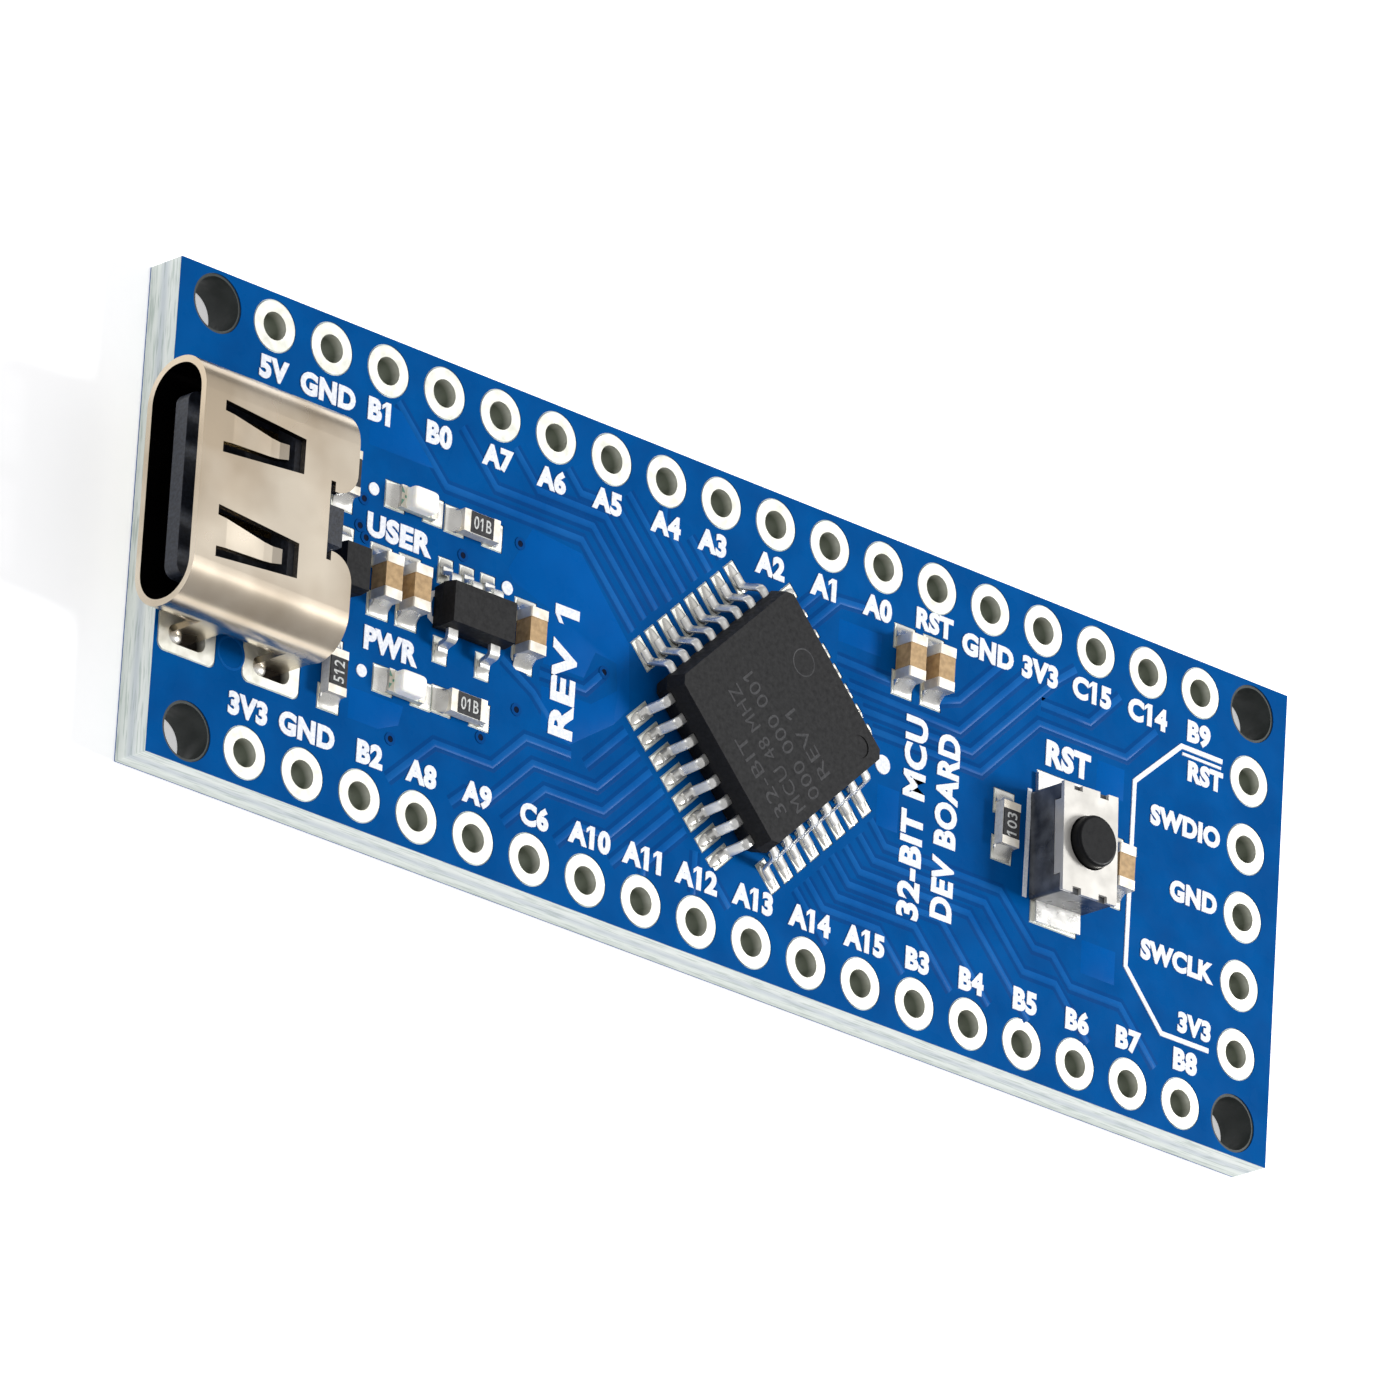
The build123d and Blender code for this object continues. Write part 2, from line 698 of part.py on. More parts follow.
def led(name, x, y):
    """A plated base with a moulded lens over the die."""
    skin = RES_SKIN
    base = block(skin - CHIP_L / 2, CHIP_L / 2 - skin, -CHIP_W / 2, CHIP_W / 2, skin, LED_BASE_H)
    ends = []
    for side in (-1, 1):
        x0, x1 = sorted((side * CHIP_L / 2, side * (LED_LENS_L / 2)))
        ends.append(block(x0, x1, -CHIP_W / 2, CHIP_W / 2, 0, LED_BASE_H + skin) - base)
    outline = Rectangle(LED_LENS_L, CHIP_W)
    lens = Pos(0, 0, LED_BASE_H) * extrude(outline, LED_LENS_H, taper=LED_DRAFT)
    top = lens.faces().sort_by(Axis.Z)[-1]
    lens = fillet(top.edges(), LED_EDGE)
    half = LED_DIE[0] / 2
    chip = block(-half, half, -half, half, LED_BASE_H, LED_BASE_H + LED_DIE[1])
    place = at(x, y)
    return {
        name + "_base": [place * base],
        name + "_lens": [place * (lens - chip)],
        name + "_terminals": [place * end for end in ends],
    }, place * chip


# ---- reset switch ---------------------------------------------------------------------

def switch_base():
    """The moulded base, with a round well for the dome."""
    body = block(-SW_BODY[0] / 2, SW_BODY[0] / 2, -SW_BODY[1] / 2, SW_BODY[1] / 2,
                 SW_BASE_BOTTOM, SW_BASE_H)
    body = fillet(body.edges().filter_by(Axis.Z), SW_BASE_CORNER)
    flank = SW_COVER_T + SW_LIP_CLEAR
    lip = SW_LIP_Y / 2 + SW_LIP_CLEAR
    for side in (-1, 1):
        x0, x1 = sorted((side * SW_BODY[0] / 2, side * (SW_BODY[0] / 2 - flank)))
        body -= block(x0, x1, -lip, lip, SW_COVER_H - SW_COVER_LIP - SW_LIP_CLEAR, 2)
    return body - post(0, 0, SW_CAVITY[0], SW_CAVITY[1], 2)


def switch_cover():
    """The metal cover: a plate with a plunger hole, folded lips and notched ends."""
    half_x = SW_BODY[0] / 2
    half_y = SW_BODY[1] / 2
    underside = SW_COVER_H - SW_COVER_T
    cover = block(-half_x, half_x, -half_y, half_y, underside, SW_COVER_H)
    for side in (-1, 1):
        x0, x1 = sorted((side * half_x, side * (half_x - SW_COVER_T)))
        cover += block(x0, x1, -SW_LIP_Y / 2, SW_LIP_Y / 2, SW_COVER_H - SW_COVER_LIP,
                       SW_COVER_H)
        for notch in (-SW_COVER_NOTCH[0], SW_COVER_NOTCH[0]):
            y0, y1 = sorted((side * half_y, side * (half_y - SW_COVER_NOTCH[2])))
            cover -= block(notch - SW_COVER_NOTCH[1], notch + SW_COVER_NOTCH[1], y0, y1, 1, 2)
    return cover - post(0, 0, SW_HOLE_D, 1, 2)


def switch_plunger():
    stem = post(0, 0, SW_STEM_D, SW_FLANGE[1], SW_STEM_TOP)
    stem = fillet(stem.edges().sort_by(Axis.Z)[-1], SW_STEM_EDGE)
    flange = post(0, 0, SW_FLANGE[0], SW_FLANGE[1], SW_FLANGE[2])
    return stem + flange + post(0, 0, SW_NUB[0], SW_NUB[1], SW_FLANGE[1])


def switch_dome():
    """A sprung cap of a sphere that snaps down when the plunger presses it."""
    across, rim, rise, thick = SW_DOME
    radius = ((across / 2) ** 2 + rise ** 2) / (2 * rise)
    centre = rim + rise - radius
    dome = Sphere(radius) - Sphere(radius - thick)
    return (Pos(0, 0, centre) * dome) & block(-2, 2, -2, 2, rim, rim + 2)


def switch_terminal(side, start, z1):
    """A strip from the well to the base's end, down, and out along the board."""
    width, reach, foot_t = SW_TERM
    end = SW_BODY[1] / 2 - SW_STRIP_OUT
    knee = end - SW_CONTACT_T
    strip = block(-SW_STRIP_HALF, SW_STRIP_HALF, start, end, SW_DOME[1] - SW_CONTACT_T, z1)
    strip += block(-SW_STRIP_HALF, SW_STRIP_HALF, knee, end, 0, z1)
    strip += block(-width / 2, width / 2, knee, reach, 0, foot_t)
    return strip if side > 0 else Rot(0, 0, 180) * strip


def switch_contacts():
    """One terminal reaches the rim of the dome and the other the button under its middle."""
    rim = SW_DOME[1]
    floor = rim - SW_CONTACT_T
    button_top = rim - SW_BUTTON_DROP
    ring = Circle(SW_CONTACT_RING[0]) - Circle(SW_CONTACT_RING[1])
    gap = Pos(0, -SW_CONTACT_RING[0]) * Rectangle(SW_CONTACT_GAP, SW_CONTACT_RING[0])
    outer = plate(ring - gap, floor, rim) + switch_terminal(1, SW_CONTACT_RING[1] + 0.05, rim)
    button = post(0, 0, SW_BUTTON_CONTACT_D, floor, button_top)
    button += switch_terminal(-1, 0, button_top)
    return [outer, button]


def reset_switch():
    contacts = switch_contacts()
    base = switch_base()
    for piece in contacts:
        base -= piece
    place = at(SW_X, SW_Y, SW_TURN)
    return {
        "reset_switch_base": [place * base],
        "reset_switch_cover": [place * switch_cover()],
        "reset_switch_plunger": [place * switch_plunger()],
        "reset_switch_dome": [place * switch_dome()],
        "reset_switch_contacts": [place * piece for piece in contacts],
    }


# ---- the whole board ------------------------------------------------------------------

def bare_board():
    return {
        "board_laminate": [laminate()],
        "solder_mask_top": [mask_top()],
        "solder_mask_bottom": [mask_bottom()],
        "header_holes_upper_row": [plated_hole(x, y) for x, y in row_points(1)],
        "header_holes_lower_row": [plated_hole(x, y) for x, y in row_points(-1)],
        "debug_header_holes": [plated_hole(x, y) for x, y in debug_points()],
        "usb_leg_slots": [plated_slot(x, side) for x, side in leg_places()],
        "component_lands": land_solids(component_lands() + mcu_lands()),
    }


def usb_receptacle():
    upper = [contact(y, True) for y in CONTACT_YS]
    lower = [contact(y, False) for y in CONTACT_YS]
    middle = mid_plate()
    pieces = {
        "usb_shell": [usb_shell()],
        "usb_insulator": [usb_housing(upper + lower, middle)],
        "usb_mid_plate": [middle],
        "usb_upper_contacts": upper,
        "usb_lower_contacts": lower,
    }
    place = Pos(0, USB_Y, 0)
    return {name: [place * solid for solid in solids] for name, solids in pieces.items()}


def all_nodes():
    nodes = bare_board()
    nodes.update(usb_receptacle())
    nodes.update(mcu())
    nodes.update(regulator())
    nodes.update(diode())
    for name, (x, y) in CAPACITORS.items():
        nodes.update(capacitor(name, x, y))
    for name, (x, y, turn) in RESISTORS.items():
        nodes.update(resistor(name, x, y, turn))
    dies = []
    for name, (x, y) in LEDS.items():
        pieces, chip = led(name, x, y)
        nodes.update(pieces)
        dies.append(chip)
    nodes["led_dies"] = dies
    nodes.update(reset_switch())
    return nodes


os.makedirs("parts", exist_ok=True)
for node, solids in all_nodes().items():
    shape = solids[0] if len(solids) == 1 else Compound(children=solids)
    export_step(shape, f"parts/{node}.step")
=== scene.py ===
import json
import math

import bmesh
import bpy
from mathutils import Matrix, Vector
from mathutils.noise import noise


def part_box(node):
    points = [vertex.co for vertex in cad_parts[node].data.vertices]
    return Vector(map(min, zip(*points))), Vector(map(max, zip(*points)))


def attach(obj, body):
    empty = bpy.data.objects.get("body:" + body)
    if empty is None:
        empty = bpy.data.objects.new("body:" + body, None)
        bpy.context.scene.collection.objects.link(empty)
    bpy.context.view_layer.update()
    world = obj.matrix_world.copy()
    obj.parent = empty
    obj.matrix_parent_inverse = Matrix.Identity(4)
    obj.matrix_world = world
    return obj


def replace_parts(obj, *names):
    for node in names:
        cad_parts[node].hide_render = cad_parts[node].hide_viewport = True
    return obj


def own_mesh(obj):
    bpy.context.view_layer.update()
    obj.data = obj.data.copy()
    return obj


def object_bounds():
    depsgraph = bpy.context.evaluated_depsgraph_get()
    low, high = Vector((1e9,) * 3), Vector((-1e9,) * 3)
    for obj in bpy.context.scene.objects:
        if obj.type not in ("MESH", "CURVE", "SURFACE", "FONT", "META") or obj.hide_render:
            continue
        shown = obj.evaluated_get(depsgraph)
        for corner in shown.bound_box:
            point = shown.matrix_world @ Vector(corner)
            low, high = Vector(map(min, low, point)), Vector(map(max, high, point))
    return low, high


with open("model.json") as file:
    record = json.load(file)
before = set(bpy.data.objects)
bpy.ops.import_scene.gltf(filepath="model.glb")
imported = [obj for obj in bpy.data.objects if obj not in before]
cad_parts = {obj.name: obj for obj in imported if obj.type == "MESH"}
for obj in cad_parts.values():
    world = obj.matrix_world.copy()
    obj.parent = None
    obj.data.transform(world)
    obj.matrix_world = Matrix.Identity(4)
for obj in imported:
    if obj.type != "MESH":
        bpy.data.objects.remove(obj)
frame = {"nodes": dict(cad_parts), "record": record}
CAD_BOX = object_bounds()
NODES = frame["nodes"]
MM = 0.001

# Places and sizes are in millimetres from here on, unless a name or comment says otherwise.
# These are the heights that every printed or soldered detail stands on.
MASK_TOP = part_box("solder_mask_top")[1].z / MM
LAND_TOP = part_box("component_lands")[1].z / MM
MCU_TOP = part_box("mcu_body")[1].z / MM
PRINT_SINK = 0.01
SILK_RISE = 0.03

# The mounting holes are at this point of every quarter, and their walls, which take painted shade, lie within
# this reach of it.
MOUNT_HOLE = Vector((24.13, 7.62, 0))
MOUNT_WALL_REACH = 1.06


# ---------------------------------------------------------------- camera, light and floor

AZIMUTH = math.radians(-59.873)
ELEVATION = math.radians(44.315)
ROLL = math.radians(71.406)
AIM = Vector((-1.698, 0.292, 1.6)) * MM
DISTANCE = 557.81 * MM
LENS = 423.13
SENSOR = 36.0
# Nearest and farthest that the camera sees, in metres.
CLIP = (0.01, 20.0)

# Every light's name, position and size in metres, and power in watts.
SOFTBOXES = (
    ("window", (0.44, 0.02, 0.32), (0.13, 0.13), 2.8),
    ("sky_panel", (0.37, 0.22, 0.42), (0.55, 0.55), 0.28),
    ("front_card", (-0.42, -0.08, 0.14), (0.3, 0.16), 0.22),
)
DOME_LOW = (0.66, 0.67, 0.70, 1)
DOME_HIGH = (0.98, 0.98, 1.0, 1)
DOME_REACHES_HIGH = 0.75
DOME_STRENGTH = 0.54
FLOOR_HALF = 3000
FLOOR_GAP = 0.01
FLOOR_CELLS = 8
FLOOR_GLOW = 0.45
WHITE = (1, 1, 1, 1)


def view_axes():
    """Right, up and back of the camera."""
    flat_right = Vector((math.cos(AZIMUTH), math.sin(AZIMUTH), 0))
    back = Vector((math.sin(AZIMUTH), -math.cos(AZIMUTH), 0)) * math.cos(ELEVATION)
    back.z = math.sin(ELEVATION)
    level_up = back.cross(flat_right)
    right = flat_right * math.cos(ROLL) + level_up * math.sin(ROLL)
    return right, back.cross(right), back


def add_camera():
    right, up, back = view_axes()
    data = bpy.data.cameras.new("camera")
    data.lens = LENS
    data.sensor_width = SENSOR
    data.clip_start, data.clip_end = CLIP
    camera = bpy.data.objects.new("camera", data)
    bpy.context.scene.collection.objects.link(camera)
    turn = Matrix((right, up, back)).transposed().to_4x4()
    camera.matrix_world = Matrix.Translation(AIM + back * DISTANCE) @ turn
    bpy.context.scene.camera = camera


def add_softbox(name, position, size, watts):
    """A rectangular light that faces the object."""
    data = bpy.data.lights.new(name, "AREA")
    data.shape = "RECTANGLE"
    data.size, data.size_y = size
    data.energy = watts
    lamp = bpy.data.objects.new(name, data)
    bpy.context.scene.collection.objects.link(lamp)
    lamp.location = position
    lamp.rotation_euler = (-Vector(position)).to_track_quat("-Z", "Y").to_euler()


def set_ramp(node, stops):
    """Gives a colour ramp its stops, each a position and a linear colour."""
    elements = node.color_ramp.elements
    while len(elements) < len(stops):
        elements.new(0.5)
    for element, (position, colour) in zip(elements, stops):
        element.position = position
        element.color = colour


def add_world():
    """A pale studio dome, brighter overhead than near the floor."""
    world = bpy.data.worlds.new("studio")
    world.use_nodes = True
    tree = world.node_tree
    where = tree.nodes.new("ShaderNodeTexCoord")
    split = tree.nodes.new("ShaderNodeSeparateXYZ")
    ramp = tree.nodes.new("ShaderNodeValToRGB")
    set_ramp(ramp, ((0.0, DOME_LOW), (DOME_REACHES_HIGH, DOME_HIGH)))
    tree.links.new(where.outputs["Generated"], split.inputs[0])
    tree.links.new(split.outputs["Z"], ramp.inputs["Fac"])
    tree.links.new(ramp.outputs["Color"], tree.nodes["Background"].inputs["Color"])
    tree.nodes["Background"].inputs["Strength"].default_value = DOME_STRENGTH
    bpy.context.scene.world = world
    bpy.context.scene.view_settings.view_transform = "Standard"


# ---------------------------------------------------------------- materials


def rgb(red, green, blue):
    """A screen colour, 0 to 255, as the linear colour that a shader takes."""
    def linear(value):
        part = value / 255
        return part / 12.92 if part <= 0.04045 else ((part + 0.055) / 1.055) ** 2.4
    return linear(red), linear(green), linear(blue), 1.0


# How many octaves of noise there are in a plain surface, a fine one, and the wandering of gloss.
PLAIN_DETAIL = 3.0
FINE_DETAIL = 5.0
GLOSS_DETAIL = 2.0


def new_material(name, colour, roughness, metallic=0.0, specular=0.5):
    mat = bpy.data.materials.new(name)
    mat.use_nodes = True
    mat.diffuse_color = colour
    inputs = mat.node_tree.nodes["Principled BSDF"].inputs
    inputs["Base Color"].default_value = colour
    inputs["Roughness"].default_value = roughness
    inputs["Metallic"].default_value = metallic
    inputs["Specular IOR Level"].default_value = specular
    return mat


def noise_of(mat, per_mm, detail=PLAIN_DETAIL, stretch=(1, 1, 1)):
    """A noise texture in the part's own coordinates, with so many features to a millimetre."""
    tree = mat.node_tree
    where = tree.nodes.new("ShaderNodeTexCoord")
    scale = tree.nodes.new("ShaderNodeMapping")
    scale.inputs["Scale"].default_value = stretch
    texture = tree.nodes.new("ShaderNodeTexNoise")
    texture.inputs["Scale"].default_value = per_mm / MM
    texture.inputs["Detail"].default_value = detail
    tree.links.new(where.outputs["Object"], scale.inputs["Vector"])
    tree.links.new(scale.outputs["Vector"], texture.inputs["Vector"])
    return texture.outputs["Fac"]


# Noise stays near its middle, so these are the values that become the low and high ends.
COLOUR_SPAN = (0.35, 0.65)
GLOSS_SPAN = (0.3, 0.7)


def mottle(mat, low, high, per_mm, detail=PLAIN_DETAIL):
    """The base colour wanders between two colours."""
    tree = mat.node_tree
    ramp = tree.nodes.new("ShaderNodeValToRGB")
    set_ramp(ramp, ((COLOUR_SPAN[0], low), (COLOUR_SPAN[1], high)))
    tree.links.new(noise_of(mat, per_mm, detail), ramp.inputs["Fac"])
    tree.links.new(ramp.outputs["Color"], tree.nodes["Principled BSDF"].inputs["Base Color"])


def vary_gloss(mat, rough, per_mm):
    """The roughness wanders between two values."""
    tree = mat.node_tree
    spread = tree.nodes.new("ShaderNodeMapRange")
    spread.inputs["From Min"].default_value, spread.inputs["From Max"].default_value = GLOSS_SPAN
    spread.inputs["To Min"].default_value, spread.inputs["To Max"].default_value = rough
    tree.links.new(noise_of(mat, per_mm, GLOSS_DETAIL), spread.inputs["Value"])
    tree.links.new(spread.outputs["Result"], tree.nodes["Principled BSDF"].inputs["Roughness"])


def grain(mat, per_mm, depth):
    """A fine relief, too small to model."""
    tree = mat.node_tree
    bump = tree.nodes.new("ShaderNodeBump")
    bump.inputs["Strength"].default_value = 1.0
    bump.inputs["Distance"].default_value = depth * MM
    tree.links.new(noise_of(mat, per_mm), bump.inputs["Height"])
    tree.links.new(bump.outputs["Normal"], tree.nodes["Principled BSDF"].inputs["Normal"])


# Features of gloss and of grain for each one of colour, on metals and on plastics.
METAL_GLOSS = 1.7
METAL_GRAIN = 2.5
PLASTIC_GLOSS = 0.6
PLASTIC_GRAIN = 2.0


def metal(name, dark, light, rough, per_mm=2.0, depth=0.004, metallic=1.0):
    """rough is the least and most roughness, per_mm how fine the mottling is, depth the grain's height."""
    mat = new_material(name, light, rough[0], metallic=metallic)
    mottle(mat, dark, light, per_mm)
    vary_gloss(mat, rough, per_mm * METAL_GLOSS)
    grain(mat, per_mm * METAL_GRAIN, depth)
    return mat


def moulding(name, dark, light, rough, per_mm=9.0, depth=0.004, specular=0.4):
    """A plastic, ceramic or print, described in the same way as a metal."""
    mat = new_material(name, light, rough[0], specular=specular)
    mottle(mat, dark, light, per_mm, detail=FINE_DETAIL)
    vary_gloss(mat, rough, per_mm * PLASTIC_GLOSS)
    grain(mat, per_mm * PLASTIC_GRAIN, depth)
    return mat


# The painted shade on the walls of the mounting holes.
MOUNT_HOLE_SHADE = rgb(46, 52, 50)


def paint_shade_in_mount_holes(tree, where, colour):
    """Painted shade: the walls of the four mounting holes are coloured darker than the sawn edge, for the
    shade down inside them.
    """
    fold = tree.nodes.new("ShaderNodeVectorMath")
    fold.operation = "ABSOLUTE"
    flatten = tree.nodes.new("ShaderNodeVectorMath")
    flatten.operation = "MULTIPLY"
    flatten.inputs[1].default_value = (1, 1, 0)
    reach = tree.nodes.new("ShaderNodeVectorMath")
    reach.operation = "DISTANCE"
    reach.inputs[1].default_value = MOUNT_HOLE * MM
    inside = tree.nodes.new("ShaderNodeMath")
    inside.operation = "LESS_THAN"
    inside.inputs[1].default_value = MOUNT_WALL_REACH * MM
    painted_shade = tree.nodes.new("ShaderNodeMix")
    painted_shade.data_type = "RGBA"
    painted_shade.inputs["B"].default_value = MOUNT_HOLE_SHADE
    tree.links.new(where.outputs["Object"], fold.inputs[0])
    tree.links.new(fold.outputs[0], flatten.inputs[0])
    tree.links.new(flatten.outputs[0], reach.inputs[0])
    tree.links.new(reach.outputs["Value"], inside.inputs[0])
    tree.links.new(inside.outputs[0], painted_shade.inputs["Factor"])
    tree.links.new(colour, painted_shade.inputs["A"])
    return painted_shade.outputs["Result"]


# Colours through the thickness of the sheet, from its underside to its top.
SHEET_LAYERS = (
    (0.0, rgb(206, 214, 208)), (0.3, rgb(224, 230, 225)), (0.47, rgb(196, 204, 208)),
    (0.53, rgb(198, 206, 209)), (0.7, rgb(226, 231, 227)), (0.98, rgb(212, 220, 217)),
)
FIBRE_STOPS = ((0.36, (0.60, 0.66, 0.63, 1)), (0.49, WHITE))
FIBRES_PER_MM = 1.3
FIBRE_STRETCH = (0.6, 0.6, 7.0)
FIBRE_STRENGTH = 0.75


def laminate_material():
    """Milky glass and resin: streaks that run along the sheet, a greyer core line, and painted shade on the
    mounting holes' walls.
    """
    mat = moulding("glass_laminate", rgb(196, 206, 199), rgb(240, 244, 240), (0.35, 0.6), 3.0, 0.006)
    tree = mat.node_tree
    shader = tree.nodes["Principled BSDF"]
    where = tree.nodes.new("ShaderNodeTexCoord")
    split = tree.nodes.new("ShaderNodeSeparateXYZ")
    height = tree.nodes.new("ShaderNodeMapRange")
    height.inputs["From Max"].default_value = MASK_TOP * MM
    layers = tree.nodes.new("ShaderNodeValToRGB")
    set_ramp(layers, SHEET_LAYERS)
    streak = tree.nodes.new("ShaderNodeMix")
    streak.data_type = "RGBA"
    streak.blend_type = "MULTIPLY"
    streak.inputs["Factor"].default_value = FIBRE_STRENGTH
    tint = tree.nodes.new("ShaderNodeValToRGB")
    set_ramp(tint, FIBRE_STOPS)
    tree.links.new(where.outputs["Object"], split.inputs[0])
    tree.links.new(split.outputs["Z"], height.inputs["Value"])
    tree.links.new(height.outputs["Result"], layers.inputs["Fac"])
    tree.links.new(noise_of(mat, FIBRES_PER_MM, FINE_DETAIL, FIBRE_STRETCH), tint.inputs["Fac"])
    tree.links.new(layers.outputs["Color"], streak.inputs["A"])
    tree.links.new(tint.outputs["Color"], streak.inputs["B"])
    with_hole_shade = paint_shade_in_mount_holes(tree, where, streak.outputs["Result"])
    tree.links.new(with_hole_shade, shader.inputs["Base Color"])
    return mat


LACQUER_ROUGHNESS = 0.3
LACQUER_SPECULAR = 0.02
LACQUER_PATCHES_PER_MM = 0.5
LACQUER_GLOSS = (0.22, 0.36)
LACQUER_GLOSS_PER_MM = 1.1
LACQUER_GRAIN_PER_MM = 5.0
LACQUER_GRAIN_DEPTH = 0.0025


def mask_material(name, dark, light):
    """Glossy blue lacquer over copper, faintly uneven."""
    mat = new_material(name, light, LACQUER_ROUGHNESS, specular=LACQUER_SPECULAR)
    mottle(mat, dark, light, LACQUER_PATCHES_PER_MM, detail=FINE_DETAIL)
    vary_gloss(mat, LACQUER_GLOSS, LACQUER_GLOSS_PER_MM)
    grain(mat, LACQUER_GRAIN_PER_MM, LACQUER_GRAIN_DEPTH)
    return mat


LENS_SCATTER = 0.1
LENS_SCATTER_DEPTH = 0.1
# A faint painted glow on the unlit lens, standing in for light scattered inside the resin.
LENS_PAINTED_GLOW_COLOUR = rgb(250, 246, 232)
LENS_PAINTED_GLOW = 0.22


def lens_material():
    """Clear resin with a faint painted glow that stands in for light scattered inside it."""
    mat = moulding("led_resin", rgb(240, 238, 230), rgb(254, 253, 249), (0.16, 0.28), per_mm=3.0)
    inputs = mat.node_tree.nodes["Principled BSDF"].inputs
    inputs["Subsurface Weight"].default_value = LENS_SCATTER
    inputs["Subsurface Scale"].default_value = LENS_SCATTER_DEPTH * MM
    inputs["Emission Color"].default_value = LENS_PAINTED_GLOW_COLOUR
    inputs["Emission Strength"].default_value = LENS_PAINTED_GLOW
    return mat


# A point on the tube's axis, and the signed distance from it, along a face's normal, below which it's inside.
SHELL_AXIS = Vector((0, 0.06, 3.08))
FACES_INWARDS = -0.3
# The painted shade on the inside of the tube.
SHELL_INSIDE_SHADE = rgb(62, 57, 53)


def shell_material():
    """Warm nickel outside; painted shade darkens the unlit inside of the tube."""
    mat = metal("nickel_plating", rgb(190, 174, 151), rgb(224, 212, 193), (0.2, 0.28),
                per_mm=0.24, depth=0.0006)
    tree = mat.node_tree
    shader = tree.nodes["Principled BSDF"]
    bright = shader.inputs["Base Color"].links[0].from_socket
    where = tree.nodes.new("ShaderNodeNewGeometry")
    offset = tree.nodes.new("ShaderNodeVectorMath")
    offset.operation = "SUBTRACT"
    offset.inputs[1].default_value = SHELL_AXIS * MM
    across = tree.nodes.new("ShaderNodeVectorMath")
    across.operation = "MULTIPLY"
    across.inputs[1].default_value = (0, 1, 1)
    facing = tree.nodes.new("ShaderNodeVectorMath")
    facing.operation = "DOT_PRODUCT"
    inside = tree.nodes.new("ShaderNodeMath")
    inside.operation = "LESS_THAN"
    inside.inputs[1].default_value = FACES_INWARDS * MM
    inside_shade = tree.nodes.new("ShaderNodeMix")
    inside_shade.data_type = "RGBA"
    inside_shade.inputs["B"].default_value = SHELL_INSIDE_SHADE
    tree.links.new(where.outputs["Position"], offset.inputs[0])
    tree.links.new(offset.outputs[0], across.inputs[0])
    tree.links.new(across.outputs[0], facing.inputs[0])
    tree.links.new(where.outputs["Normal"], facing.inputs[1])
    tree.links.new(facing.outputs["Value"], inside.inputs[0])
    tree.links.new(inside.outputs[0], inside_shade.inputs["Factor"])
    tree.links.new(bright, inside_shade.inputs["A"])
    tree.links.new(inside_shade.outputs["Result"], shader.inputs["Base Color"])
    return mat


# Painted shade inside the plated holes starts this far below the land top and is full this far below it.
SHADE_STARTS = 0.12
SHADE_ENDS = 0.45


def levelled_solder(name, inner):
    """Pale levelled solder, with painted shade that darkens it down inside the plated holes."""
    mat = metal(name, rgb(232, 232, 219), rgb(250, 250, 241), (0.3, 0.45), per_mm=1.8, metallic=0.6)
    tree = mat.node_tree
    shader = tree.nodes["Principled BSDF"]
    pale = shader.inputs["Base Color"].links[0].from_socket
    where = tree.nodes.new("ShaderNodeTexCoord")
    split = tree.nodes.new("ShaderNodeSeparateXYZ")
    depth = tree.nodes.new("ShaderNodeMapRange")
    depth.inputs["From Min"].default_value = (LAND_TOP - SHADE_STARTS) * MM
    depth.inputs["From Max"].default_value = (LAND_TOP - SHADE_ENDS) * MM
    painted_shade = tree.nodes.new("ShaderNodeMix")
    painted_shade.data_type = "RGBA"
    painted_shade.inputs["B"].default_value = inner
    tree.links.new(where.outputs["Object"], split.inputs[0])
    tree.links.new(split.outputs["Z"], depth.inputs["Value"])
    tree.links.new(depth.outputs["Result"], painted_shade.inputs["Factor"])
    tree.links.new(pale, painted_shade.inputs["A"])
    tree.links.new(painted_shade.outputs["Result"], shader.inputs["Base Color"])
    return mat


